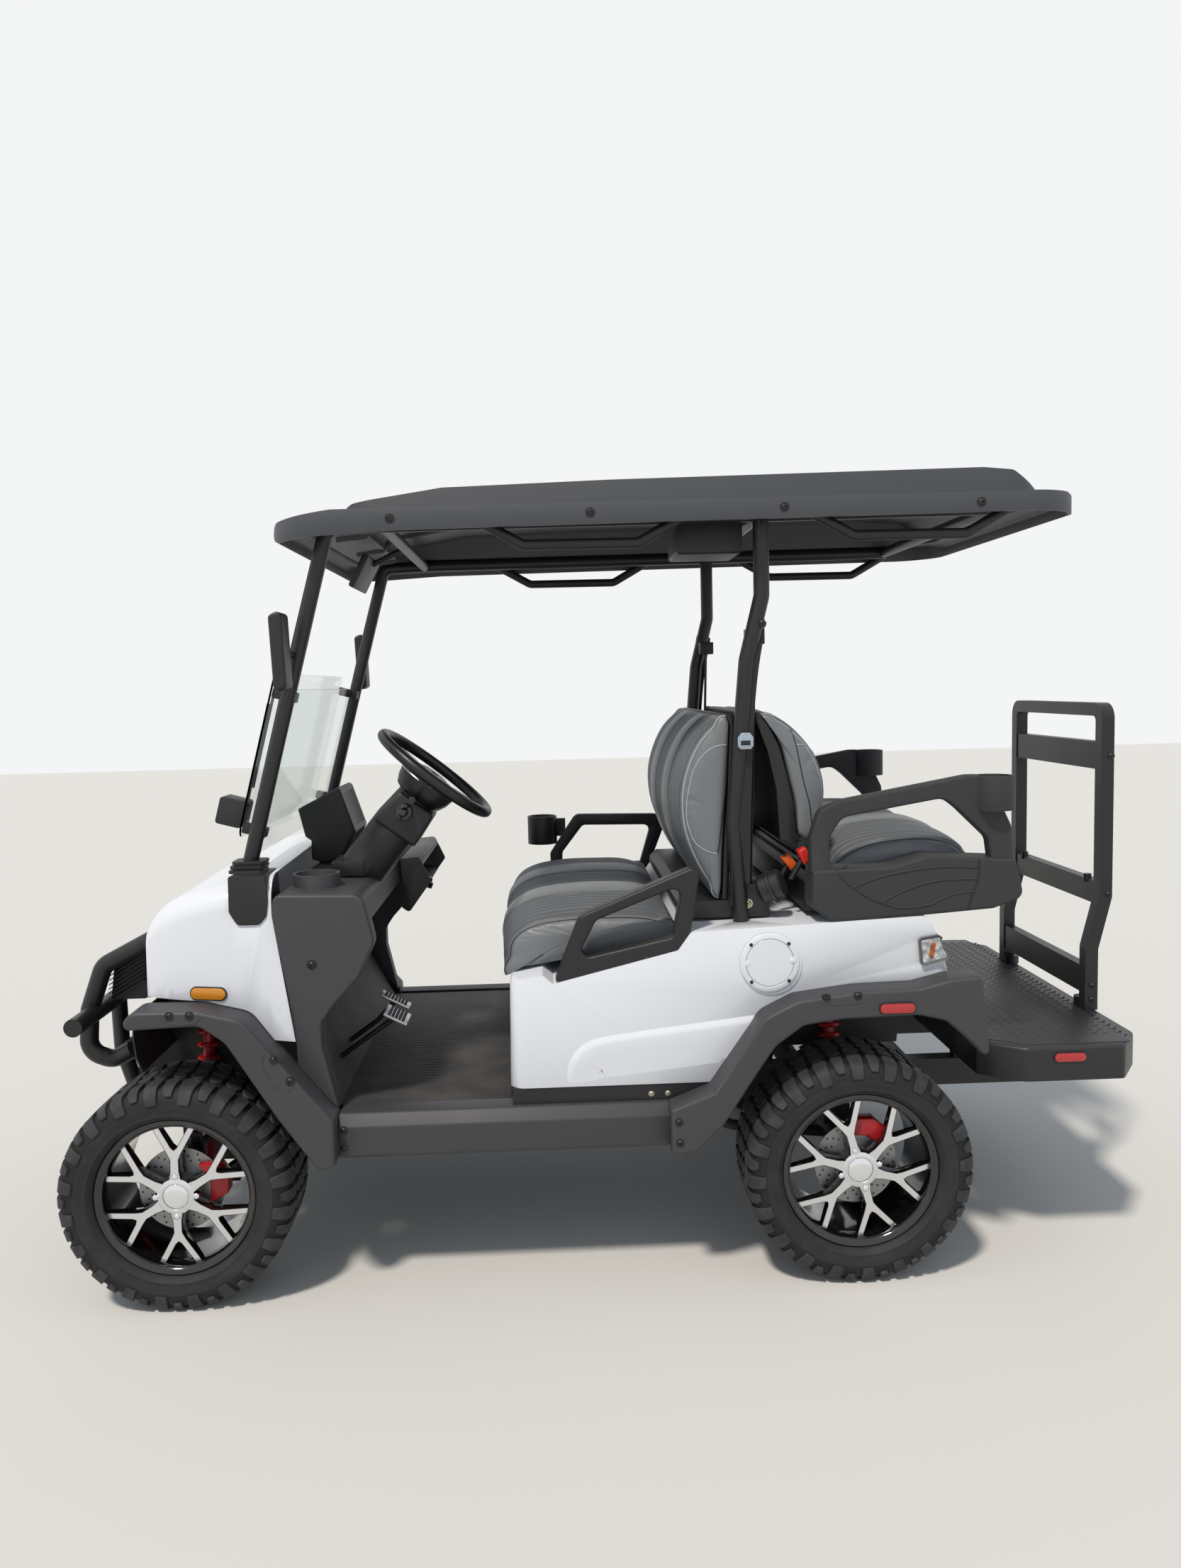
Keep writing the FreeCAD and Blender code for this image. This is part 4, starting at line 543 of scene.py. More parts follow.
disc = spun("disc", [(r / 1000, y / 1000) for r, y in
                     [(45, 42), (104.5, 42), (104.5, 36.5), (45, 36.5)]], 72, closed=True)
hat = spun("hat", [(r / 1000, y / 1000) for r, y in
                   [(40, 12), (46, 12), (48, 40), (60, 41.5), (60, 43.5), (42, 43.5)]], 48, closed=True)
holes = []
for row, radius in enumerate((0.074, 0.085, 0.096)):
    for number in range(HOLES_ROUND):
        angle = 2 * math.pi * (number + row / 3) / HOLES_ROUND
        hole = spun("hole", [(0, 0.0424), (0.0032, 0.0424), (0.0032, 0.0415), (0, 0.0415)], 8)
        hole.data.transform(Matrix.Translation((radius * math.sin(angle), 0, radius * math.cos(angle))))
        holes.append(hole)
holes = joined(holes)
holes.data.materials.append(gloss_black)
disc.data.materials.append(disc_steel)
hat.data.materials.append(disc_steel)
disc = joined([disc, hat, holes])
caliper = extruded("caliper", [(-0.052, 0.062), (-0.040, 0.112), (0, 0.126), (0.040, 0.112), (0.052, 0.062),
                               (0, 0.078)], 0.044)
caliper.data.transform(Matrix.Rotation(math.radians(90), 4, "X") @ Matrix.Diagonal((1, 1, -1, 1)))
caliper.data.flip_normals()
caliper.data.transform(Matrix.Translation((0, 0.016, 0)))
bevelled(caliper, 0.005, segments=2, angle=30)
for corner, (side, start_deg) in WHEELS.items():
    low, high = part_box("rim_" + corner)
    spot = Matrix.Translation((low + high) / 2)
    hand = Matrix.Diagonal((1, side, 1, 1))
    lean = 0 if corner.startswith("front") else 15
    roll = spot @ Matrix.Rotation(math.radians(lean), 4, "Y") @ hand
    alloy = finished(copied(rim, roll), "rim_spokes_" + corner, "wheel_" + corner)
    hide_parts("rim_" + corner)
    finished(copied(cap, roll), "hub_cap_" + corner, "wheel_" + corner, chrome)
    finished(copied(disc, roll), "brake_disc_" + corner, "wheel_" + corner)
    carrier = "knuckle_" + corner[6:] if corner.startswith("front") else "chassis"
    lift = Matrix.Rotation(math.radians(-75 if corner.startswith("front") else -20), 4, "Y")
    clamp = copied(caliper, spot @ lift @ hand)
    finished(clamp, "brake_caliper_" + corner, carrier, caliper_red)
for piece in (rim, cap, disc, caliper):
    bpy.data.objects.remove(piece)


# Floor and sills: vacuum-formed ABS, screwed down on the frame, with a ribbed rubber mat over the
# floor. The ABS is charcoal or black, matt, with a fine leather grain.
abs_black = coated("moulded_abs_black", "#1a1b1d", 0.5, 2.2, 0.06)
abs_charcoal = coated("moulded_abs_charcoal", "#3b3c40", 0.55, 2.4, 0.12)
recast("floor_pan", abs_black)
recast("rockers", abs_charcoal, bevel_mm=1.5)
# The mat: dull rubber, browned in patches by dust. Its ribs are drawn as relief, 22 mm apart
mat_rubber, tree, shader = new_material("rubber_mat_ribbed")
spots = add(tree, "TexCoord")
ribs = add(tree, "TexWave", {"wave_type": "BANDS", "bands_direction": "Y", "wave_profile": "TRI"},
           Vector=spots.outputs["Object"], Scale=14.0, Distortion=0.0)
relief = add(tree, "Bump", Height=ribs.outputs["Fac"], Distance=0.0015, Strength=0.9)
dust = add(tree, "TexNoise", Vector=spots.outputs["Object"], Scale=9.0, Detail=5.0)
tone = add(tree, "ValToRGB", Fac=dust.outputs["Fac"])
tone.color_ramp.elements[0].position = 0.35
tone.color_ramp.elements[0].color = linear("#2b2b2d")
tone.color_ramp.elements[1].position = 0.75
tone.color_ramp.elements[1].color = linear("#4a4745")
tree.links.new(tone.outputs["Color"], shader.inputs["Base Color"])
tree.links.new(relief.outputs["Normal"], shader.inputs["Normal"])
shader.inputs["Roughness"].default_value = 0.7
recast("floor_mat", mat_rubber, bevel_mm=1.0)


# Front body: one white shell of painted ABS with an open nose. Charcoal flares of grained ABS are
# screwed to its fenders, on pads with raised rims.
# Pearl paint: a cool white under clear lacquer, with soft edges to what it mirrors
body_paint = coated("painted_abs_pearl_white", "#e3e7ee", 0.3, 1.6, 0.01)
shader = body_paint.node_tree.nodes["Principled BSDF"]
shader.inputs["Coat Weight"].default_value = 0.7
shader.inputs["Coat Roughness"].default_value = 0.08
recast("front_body", body_paint, bevel_mm=1.2)
recast("front_flares", abs_charcoal, bevel_mm=1.0)
# Screws: button heads of blackened steel, and of pale yellow zinc where the floor takes them
zinc_black = coated("zinc_plate_black", "#0f1011", 0.3, 1.5, 0.02)
zinc_pale = coated("zinc_plate_pale", "#b9b39a", 0.35, 1.5, 0.03)
shader = zinc_pale.node_tree.nodes["Principled BSDF"]
shader.inputs["Metallic"].default_value = 1.0
# How far out from the cart's middle a line of sight starts, clear of all its sides
CLEAR_MM = 800
# Section of a button head with its socket, as shares of its radius: radius, height
SCREW_SECTION = [(0, 0.16), (0.36, 0.16), (0.40, 0.52), (0.62, 0.56), (0.86, 0.40), (1.0, 0.10), (1.0, -0.5)]


def landed(names, start_mm, way):
    """Where a line first meets one of some pieces, and the way the skin faces there."""
    start, best = place(*start_mm), None
    for name in names:
        piece = bpy.data.objects[name]
        hit, spot, normal, index = piece.ray_cast(start, Vector(way))
        if hit and (best is None or (spot - start).length < (best[0] - start).length):
            best = (spot, normal)
    return best


def seated(piece, spot, normal):
    """Another of a piece, its Y axis turned the way a surface faces, set down on a spot of it."""
    turn = Vector((0, 1, 0)).rotation_difference(normal).to_matrix().to_4x4()
    return copied(piece, Matrix.Translation(spot) @ turn)


def screwed(name, names, spots_mm, radius_mm, material=None):
    """Screws with washers on both sides of the cart, at places along and up, driven in sideways."""
    section = [(r * radius_mm / 1000, y * radius_mm / 1000) for r, y in SCREW_SECTION]
    section[5:] = [(radius_mm / 1000, 0.0002 * radius_mm), (1.45 * radius_mm / 1000, 0.00018 * radius_mm),
                   (1.45 * radius_mm / 1000, -0.0003 * radius_mm)]
    screw = spun("screw", section, 20)
    heads = []
    for x, z in spots_mm:
        for side in (1, -1):
            found = landed(names, (x, side * CLEAR_MM, z), (0, -side, 0))
            if found:
                heads.append(seated(screw, found[0], found[1]))
    bpy.data.objects.remove(screw)
    return finished(joined(heads), name, "chassis", material or zinc_black, smooth_deg=30)


def through(points, spacing):
    """Points at even spacing on a smooth line through measured ones."""
    line = []
    for i in range(len(points) - 1):
        near = (points[max(i - 1, 0)], points[i], points[i + 1], points[min(i + 2, len(points) - 1)])
        steps = max(1, round(math.dist(points[i], points[i + 1]) / spacing))
        for k in range(steps):
            t = k / steps
            line.append([b + 0.5 * t * (c - a + t * (2 * a - 5 * b + 4 * c - d + t * (3 * b - a - 3 * c + d)))
                         for a, b, c, d in zip(*near)])
    return line + [list(points[-1])]


def corded(name, points, radius, material):
    """A round cord laid along a line, such as the piping of a seam."""
    curve = bpy.data.curves.new(name, "CURVE")
    curve.dimensions = "3D"
    curve.bevel_depth = radius
    curve.bevel_resolution = 2
    line = curve.splines.new("POLY")
    line.points.add(len(points) - 1)
    for spot, point in zip(line.points, points):
        spot.co = (*point, 1.0)
    piece = bpy.data.objects.new(name, curve)
    bpy.context.scene.collection.objects.link(piece)
    bpy.ops.object.select_all(action="DESELECT")
    bpy.context.view_layer.objects.active = piece
    piece.select_set(True)
    bpy.ops.object.convert(target="MESH")
    piece = bpy.context.object
    piece.data.materials.clear()
    piece.data.materials.append(material)
    return piece


def rimmed(node, lines_mm):
    """Raised rims of the same moulding, round the recessed pads that a flare's screws sit in."""
    cords = []
    for line in lines_mm:
        for side in (1, -1):
            spots = [landed([node + "_skin"], (x, side * CLEAR_MM, z), (0, -side, 0))
                     for x, z in through(line, 6.0)]
            spots = [found[0] for found in spots if found]
            if len(spots) > 2:
                cords.append(corded("rim", spots, 0.0014, abs_charcoal))
    finished(joined(cords), node + "_pad_rims", "chassis", smooth_deg=60)


FLARE_SCREW = 7.5
screwed("front_flare_screws", ["front_flares_skin"], [(827, 745), (779, 744), (584, 629), (548, 575)],
        FLARE_SCREW)
rimmed("front_flares", [[(854, 759), (750, 757), (769, 727), (836, 730), (854, 759)],
                        [(598, 665), (612, 612), (566, 548), (533, 572)]])


# Rear body: the white seat base and fenders in one painted ABS shell, with charcoal flares. Button
# screws hold the flares and the sills, and small pale ones the plinth that the body stands on.
recast("rear_body", body_paint, bevel_mm=2.0)
recast("rear_flares", abs_charcoal, bevel_mm=1.0)
screwed("rear_flare_screws", ["rear_flares_skin"], [(-755, 737), (-832, 739), (-555, 621), (-1060, 655)],
        FLARE_SCREW)
rimmed("rear_flares", [[(-715, 755), (-868, 757), (-852, 727), (-812, 720), (-745, 722), (-715, 755)]])
screwed("sill_screws", ["rockers_skin", "front_flares_skin", "rear_flares_skin"],
        [(434, 430), (436, 382), (-390, 438), (-392, 386)], 7.0)
screwed("plinth_screws", ["floor_pan_skin"], [(-372, 482), (-330, 482)], 5.0, zinc_pale)


# Ledge: a swage pressed out of the rear body's sides climbs from the sill and runs back to the flare.
# It catches the light along its upper edge and fades out below.
LEDGE_MM = [(-118, 512), (-122, 540), (-132, 575), (-158, 608), (-205, 628), (-306, 641), (-396, 651),
            (-500, 662), (-600, 673)]
# Columns: how far down from the line, how far out from the body
LEDGE_SECTION_MM = [(6, -0.6), (1, 0.8), (-5, 3.6), (-10, 5.6), (-16, 6.2), (-40, 4.6), (-75, 2.2),
                    (-112, -0.6)]
BODY_FOOT_MM = 512
BODY_HALF_MM = 589
FADE_MM = 60


def lined(name, line_mm, section_mm, names, side, depth_mm, low_mm=0):
    """A moulding that follows a line over a cart's side: rows run across it, down from the line."""
    corners, faces = [], []
    spots = through(line_mm, 8.0)
    for i, spot in enumerate(spots):
        before, after = spots[max(i - 1, 0)], spots[min(i + 1, len(spots) - 1)]
        run = Vector((after[0] - before[0], after[1] - before[1])).normalized()
        over = Vector((run.y, -run.x))
        over = -over if over.y < 0 else over
        for down, out in section_mm:
            x, z = spot[0] + over.x * down, max(spot[1] + over.y * down, low_mm)
            found = landed(names, (x, side * CLEAR_MM, z), (0, -side, 0))
            base = found[0] if found else place(x, side * depth_mm, z)
            share = min(1.0, (z - low_mm) / FADE_MM) if low_mm else 1.0
            corners.append(base + Vector((0, side * (out * share - 0.6 * (1 - share)) / 1000, 0)))
    wide = len(section_mm)
    for i in range(len(spots) - 1):
        for k in range(wide - 1):
            faces.append((i * wide + k, i * wide + k + 1, (i + 1) * wide + k + 1, (i + 1) * wide + k))
    mesh = bpy.data.meshes.new(name)
    mesh.from_pydata([tuple(c) for c in corners], [], faces)
    piece = bpy.data.objects.new(name, mesh)
    bpy.context.scene.collection.objects.link(piece)
    return piece


ledges = []
for side in (1, -1):
    ledges.append(lined("ledge", LEDGE_MM, LEDGE_SECTION_MM, ["rear_body_skin"], side, BODY_HALF_MM,
                        BODY_FOOT_MM))
finished(joined(ledges), "rear_body_ledges", "chassis", body_paint, smooth_deg=50)


# Charging port: a moulded ring held by four screws, with a hinged lid, on the left side of the rear
# body. Ring and lid are painted with it, and a dark gap shows between them.
def lozenge(name, half_long, half_tall, out):
    """A flat bar with round ends, standing out along Y."""
    corners = []
    for number in range(24):
        angle = 2 * math.pi * (number + 0.5) / 24
        shift = (half_long - half_tall) * (1 if math.cos(angle) > 0 else -1)
        corners.append((shift + half_tall * math.cos(angle), half_tall * math.sin(angle)))
    plate = extruded(name, corners, out)
    plate.data.transform(Matrix.Rotation(math.radians(-90), 4, "X"))
    return bevelled(plate, min(out, half_tall) * 0.35, segments=2, angle=60)


PORT_MM = (-632, 809)
PORT_SCREW = 0.0046
PORT_SCREW_CIRCLE = 0.0665
found = landed(["rear_body_skin"], (PORT_MM[0], CLEAR_MM, PORT_MM[1]), (0, -1, 0))
ring = spun("ring", [(r / 1000, y / 1000) for r, y in
                     [(60.4, -0.5), (60.4, 3.6), (61.2, 4.4), (71, 4.4), (73.5, 3.2), (74.5, 0.6),
                      (74.5, -0.5)]], 72)
lid = spun("lid", [(r / 1000, y / 1000) for r, y in [(0, 4.0), (58.4, 4.0), (59.3, 3.2), (59.4, -0.5)]], 72)
latch = lozenge("latch", 0.008, 0.0075, 0.0062)
latch.data.transform(Matrix.Translation((-0.057, 0, 0.004)))
notch = lozenge("hinge", 0.008, 0.0079, 0.0048)
notch.data.transform(Matrix.Rotation(math.radians(90), 4, "Y"))
notch.data.transform(Matrix.Translation((0.056, 0, 0.0)))
white = joined([ring, lid, latch, notch])
flat = Vector((found[1].x, found[1].y, 0)).normalized()
port = seated(white, found[0], flat)
bpy.data.objects.remove(white)
finished(port, "charging_port", "chassis", body_paint, smooth_deg=30)
gap = spun("gap", [(0.0593, 0.0010), (0.0605, 0.0010)], 72)
groove = seated(gap, found[0], flat)
bpy.data.objects.remove(gap)
finished(groove, "charging_port_gap", "chassis", abs_black)
screw = spun("screw", [(r * PORT_SCREW, y * PORT_SCREW) for r, y in SCREW_SECTION], 20)
heads = []
for number in range(4):
    angle = math.radians(45 + 90 * number)
    out = Vector((math.cos(angle), 0, math.sin(angle))) * PORT_SCREW_CIRCLE
    heads.append(seated(screw, found[0] + out + flat * 0.0044, flat))
bpy.data.objects.remove(screw)
finished(joined(heads), "charging_port_screws", "chassis", zinc_black, smooth_deg=30)


# Step and grab bar: a black steel tread plate hangs behind the rear seat, with lozenges rolled into it
# by turns along and across. A bar of welded tube stands on it, screwed at its feet and its corners.
# Tread plate: painted black, a little worn in gloss
tread_plate = coated("tread_plate_black", "#222326", 0.45, 3.0, 0.1)
recast("step", tread_plate, bevel_mm=2.0)
recast("grab_bar", powder_black)
screwed("grab_bar_screws", ["grab_bar_skin"], [(-1590, 600), (-1590, 640), (-1632, 896), (-1634, 1280)],
        7.0)
LOZENGE_PITCH = 30.0
LOZENGE_LONG = 0.023
LOZENGE_WIDE = 0.0075
bpy.ops.mesh.primitive_cube_add(size=1)
bump = bpy.context.object
bump.data.transform(Matrix.Diagonal((LOZENGE_LONG, LOZENGE_WIDE, 0.003, 1)))
bpy.ops.object.mode_set(mode="EDIT")
bpy.ops.mesh.select_all(action="SELECT")
bpy.ops.mesh.subdivide(number_cuts=1)
bpy.ops.object.mode_set(mode="OBJECT")
for vertex in bump.data.vertices:
    along = 2 * abs(vertex.co.x) / LOZENGE_LONG
    over = 2 * abs(vertex.co.y) / LOZENGE_WIDE
    vertex.co.y *= 1 - 0.85 * along
    vertex.co.z = 0.0016 * (1 - 0.85 * max(along, over)) if vertex.co.z > -0.001 else -0.0006
found = landed(["step_skin"], (-1400, 0, 700), (0, 0, -1))
strip = []
for column in range(13):
    for half in (0, 1):
        x = place(-1198 - LOZENGE_PITCH * (column + 0.5 * half), 0, 0).x
        yaw = Matrix.Rotation(math.radians(45 if half else -45), 4, "Z")
        strip.append(copied(bump, Matrix.Translation((x, LOZENGE_PITCH / 2000 * half, found[0].z)) @ yaw))
strip = joined(strip)
bumps = [copied(strip, Matrix.Translation((0, LOZENGE_PITCH / 1000 * row, 0))) for row in range(-18, 18)]
bpy.data.objects.remove(bump)
bpy.data.objects.remove(strip)
finished(joined(bumps), "step_lozenges", "chassis", tread_plate, smooth_deg=20)


# Markers: ribbed acrylic lenses, amber at the front and red at the back, each clipped in a black rim.
# Acrylic: deep colour under a clear gloss, with flutes 3.5 mm apart drawn as relief
lens_amber, tree, shader = new_material("acrylic_lens_amber")
spots = add(tree, "TexCoord")
flutes = add(tree, "TexWave", {"wave_type": "BANDS", "bands_direction": "X"},
             Vector=spots.outputs["Object"], Scale=90.0)
relief = add(tree, "Bump", Height=flutes.outputs["Fac"], Distance=0.0006, Strength=0.6)
shader.inputs["Base Color"].default_value = linear("#d98a06")
shader.inputs["Roughness"].default_value = 0.12
shader.inputs["Coat Weight"].default_value = 0.8
tree.links.new(relief.outputs["Normal"], shader.inputs["Normal"])
lens_red = lens_amber.copy()
lens_red.name = "acrylic_lens_red"
lens_red.node_tree.nodes["Principled BSDF"].inputs["Base Color"].default_value = linear("#b5121a")

# Columns: what carries it, its place along and up, half its size, its lean, its lens, its slot
MARKERS_MM = {
    "front_markers": (["front_body_skin", "front_flares_skin"], 757, 774, 47, 17.5, 2.0, lens_amber, "lamp"),
    "rear_markers": (["rear_flares_skin"], -929, 705, 46, 15, 0.0, lens_red, "lamp_rear"),
    "step_markers": (["step_skin"], -1390, 543, 43, 14, 0.0, lens_red, "lamp_rear"),
}
for name, (names, x, z, half_long, half_tall, lean, glow, slot) in MARKERS_MM.items():
    lenses, rims = [], []
    for side in (1, -1):
        spot, normal = landed(names, (x, side * CLEAR_MM, z), (0, -side, 0))
        tilt = Matrix.Rotation(math.radians(-lean * side), 4, "Y")
        lens = lozenge("lens", half_long / 1000 - 0.003, half_tall / 1000 - 0.003, 0.0075)
        rim = lozenge("rim", half_long / 1000, half_tall / 1000, 0.0045)
        for part, group in ((lens, lenses), (rim, rims)):
            part.data.transform(tilt)
            flat = Vector((normal.x, normal.y, 0)).normalized() if abs(normal.z) < 0.4 else normal
            group.append(seated(part, spot - flat * 0.001, flat))
            bpy.data.objects.remove(part)
    finished(joined(lenses), name, "chassis", glow, smooth_deg=30)
    finished(joined(rims), name + "_rims", "chassis", abs_black, smooth_deg=30)


# Lamps: clear acrylic lenses sunk in grey housings with a bright rim. The cells of the reflectors
# behind show through them, and a row of orange lights glows in each tail lamp.
housing_grey = coated("lamp_housing_grey", "#5b5e62", 0.35, 2.0, 0.03)
# Clear lens: silvery cells 14 mm across under a hard gloss
lens_clear, tree, shader = new_material("acrylic_lens_clear")
spots = add(tree, "TexCoord")
cells = add(tree, "TexVoronoi", {"feature": "F1"}, Vector=spots.outputs["Object"], Scale=70.0)
relief = add(tree, "Bump", Height=cells.outputs["Distance"], Distance=0.002, Strength=0.5)
tone = add(tree, "ValToRGB", Fac=cells.outputs["Distance"])
tone.color_ramp.elements[0].position = 0.2
tone.color_ramp.elements[0].color = linear("#d9dcde")
tone.color_ramp.elements[1].position = 0.75
tone.color_ramp.elements[1].color = linear("#8b8f93")
tree.links.new(tone.outputs["Color"], shader.inputs["Base Color"])
tree.links.new(relief.outputs["Normal"], shader.inputs["Normal"])
shader.inputs["Metallic"].default_value = 0.5
shader.inputs["Roughness"].default_value = 0.16
shader.inputs["Coat Weight"].default_value = 1.0
# The same lens over orange lights
lens_orange = lens_clear.copy()
lens_orange.name = "acrylic_lens_orange"
recoloured(lens_orange, ("#e07a10", "#8a3a08"))
piece = recast("head_lamps", housing_grey)
piece.data.materials.append(lens_clear)
faced(piece, lambda face: face.normal.x > 0.9, 0.0045, -0.003)
piece = recast("tail_lamps", housing_grey)
piece.data.materials.append(lens_clear)
faced(piece, lambda face: face.area > 0.0005 and (abs(face.center.y) > 0.599 or face.normal.x < -0.8),
      0.006, -0.003)
leds = []
for side in (1, -1):
    bar = lozenge("leds", 0.020, 0.006, 0.004)
    bar.data.transform(Matrix.Rotation(math.radians(78), 4, "Y"))
    spot, normal = landed(["tail_lamps_skin"], (-1040, side * CLEAR_MM, 828), (0, -side, 0))
    leds.append(seated(bar, spot, Vector((0, side, 0))))
    bpy.data.objects.remove(bar)
finished(joined(leds), "tail_lamp_leds", "chassis", lens_orange, smooth_deg=30)


# Brush guard and grille: a guard of bent steel tube, welded and powder coated, stands before the nose.
# The grille behind it is moulded, with louvres under the hood's edge.
recast("bumper", powder_black)
recast("grille", abs_black)


# Dash: a charcoal ABS moulding with two cup holders, held by a screw at each side. A black knee panel
# lies under it, and the screen's housing stands beside the column.
recast("dash", abs_charcoal, bevel_mm=1.5)
recast("knee_panel", abs_black, bevel_mm=2.0)
recast("display", abs_black, bevel_mm=1.2)
screwed("dash_screws", ["dash_skin"], [(500, 840)], 8.5)
# Screen: black glass, switched off, dulled by a film against glare
screen, tree, shader = new_material("screen_glass_black")
shader.inputs["Base Color"].default_value = linear("#08090b")
shader.inputs["Roughness"].default_value = 0.3
shader.inputs["Specular IOR Level"].default_value = 0.02
piece = bpy.data.objects["display_skin"]
piece.data.materials.append(screen)
faced(piece, lambda face: face.area > 0.006 and face.normal.x < -0.5, 0.008, -0.0015)


# Roof: a skin of moulded polypropylene with a raised middle, screwed along its lip to a frame of bent
# steel tube. Swaged rails stiffen its underside, and four grab handles and a box hang under it.
recast("roof_frame", powder_black)
# Polypropylene: dark grey and matt, with a coarse grain that hides scratches
recast("roof", coated("moulded_polypropylene_roof", "#43464b", 0.5, 3.0, 0.2), bevel_mm=2.0)
recast("roof_handles", abs_black)
recast("overhead_box", abs_black, bevel_mm=1.2)
screwed("roof_screws", ["roof_skin"], [(268, 1916), (-212, 1921), (-682, 1925), (-1164, 1928)], 8.0)
# Rails swaged into its underside: places along and across
ROOF_RAILS_MM = [
    [(500, -520), (515, -300), (520, 0), (515, 300), (500, 520)],
    [(430, -470), (300, -420), (60, -400), (-500, -400), (-1150, -400)],
    [(430, 470), (300, 420), (60, 400), (-500, 400), (-1150, 400)],
    [(470, -180), (250, -150), (-300, -150), (-1100, -150)],
    [(470, 180), (250, 150), (-300, 150), (-1100, 150)],
]
rails = []
for line in ROOF_RAILS_MM:
    spots = [landed(["roof_skin"], (x, y, 1700), (0, 0, 1)) for x, y in through(line, 40.0)]
    rails.append(corded("rail", [found[0] for found in spots if found], 0.011, abs_charcoal))
finished(joined(rails), "roof_rails", "chassis", smooth_deg=60)


# Windshield: two sheets of clear polycarbonate between the front pillars, the upper one folded down.
# Its fittings, the boots at the pillars' feet and the mirrors are black mouldings.
for node in ("pillar_boots", "windshield_fittings", "mirrors"):
    recast(node, abs_black, bevel_mm=1.2)
# Polycarbonate: clear. It bends light less than the real one, so that what lies behind stays put
clear, tree, shader = new_material("clear_polycarbonate_sheet")
shader.inputs["Base Color"].default_value = linear("#eef2f1")
shader.inputs["Transmission Weight"].default_value = 1.0
shader.inputs["Roughness"].default_value = 0.02
shader.inputs["IOR"].default_value = 1.05
dress("windshield", clear)


# Seats: moulded foam under grey vinyl. Plain lobes and ribbed panels run over each pad by turns,
# sewn down along their seams, and a piped cheek closes each end. The backrests stand on a tube frame,
# and moulded armrests flank the front cushion.
recast("seat_back_frame", powder_black)
recast("front_armrests", abs_black, bevel_mm=1.2)
# Vinyl: soft sheen and a fine leather grain, a little duller on the ribbed panels, whose darker colour is
# painted shade for the grooves between their ribs
vinyl_plain = coated("vinyl_grey_plain", "#73777b", 0.46, 1.6, 0.12)
vinyl_ribbed_painted_shade = coated("vinyl_grey_ribbed_painted_shade", "#5b5f64", 0.5, 1.2, 0.2)
# Piping and thread: the same vinyl over a cord, pale or dark, and grey polyester stitches. The dark cord is
# partly dark piping and partly painted shade, for the shadow in the crease along its seam
piping_light = coated("vinyl_piping_light", "#a9adb1", 0.42, 1.2, 0.05)
thread_grey = coated("sewing_thread_grey", "#8d9196", 0.6, 1.0, 0.05)
piping_dark_painted_shade = coated("vinyl_piping_dark", "#1d1f22", 0.45, 1.2, 0.05)
# Shells: smooth moulded plastic with a low gloss
shell_black = coated("moulded_shell_black", "#141517", 0.42, 2.0, 0.05)
RIB_DEEP = 6.5
INNER_RIBS_END = 95.0
LOBE_END = 255.0
RIB_PITCH = 31.7
CHEEK_SEAM_IN = 14.0
END_RIBS_IN = 22.0
# How far in from a face's ends the ribs reach full depth, and the wave that their seams run in
END_EASE = 55
WAVE_LONG = 175
WAVE_WIDE = 3.5
# Where rows of points lie across a rib and across a lobe, as shares of its width
RIB_SHARES = (0.0, 0.1, 0.25, 0.5, 0.75, 0.9)
LOBE_SHARES = (0.04, 0.12, 0.25, 0.4, 0.5, 0.6, 0.75, 0.88, 0.96)
# Columns: a station out from the middle, how far the surface sinks there
CUSHION_CROWN = [(0, 6), (95, 5), (135, 0), (215, 0), (255, 5), (330, 7), (400, 10), (450, 16), (486, 26)]
BACK_CROWN = [(0, 7), (95, 6), (135, 0), (215, 0), (255, 6), (330, 8), (420, 9), (450, 11), (466, 16)]
# Rings that close a pad's end: share of the section's size, and how far in from the full width
CHEEK_RINGS = [(0.985, 8.0), (0.962, 4.0), (0.93, 1.6), (0.86, 0.5), (0.72, 0.0), (0.5, 0.0), (0.25, 0.0)]


def level(table, value):
    """A value read from a table of steps, eased from one to the next."""
    for (a, low), (b, high) in zip(table[:-1], table[1:]):
        if value <= b:
            share = max(0.0, (value - a) / (b - a))
            return low + (high - low) * share * share * (3 - 2 * share)
    return table[-1][1]


def stations(half):
    """Offsets across half a pad, each with its share of a groove and whether it lies on a rib panel."""
    rows = []
    for start, end, count in ((0.0, INNER_RIBS_END, 3), (INNER_RIBS_END, LOBE_END, 0),
                              (LOBE_END, half - END_RIBS_IN,
                               round((half - END_RIBS_IN - LOBE_END) / RIB_PITCH))):
        if count:
            for i in range(count):
                for t in RIB_SHARES:
                    groove = 1 - math.sqrt(math.sin(math.pi * t))
                    rows.append((start + (end - start) * (i + t) / count, groove, True))
        else:
            rows.append((start, 1.0, False))
            rows += [(start + share * (end - start), 0.0, False) for share in LOBE_SHARES]
    return rows + [(half - END_RIBS_IN, 1.0, False), (half - 19, 0.2, False), (half - 16.5, 0.2, False),
                   (half - CHEEK_SEAM_IN, 0.9, False)]


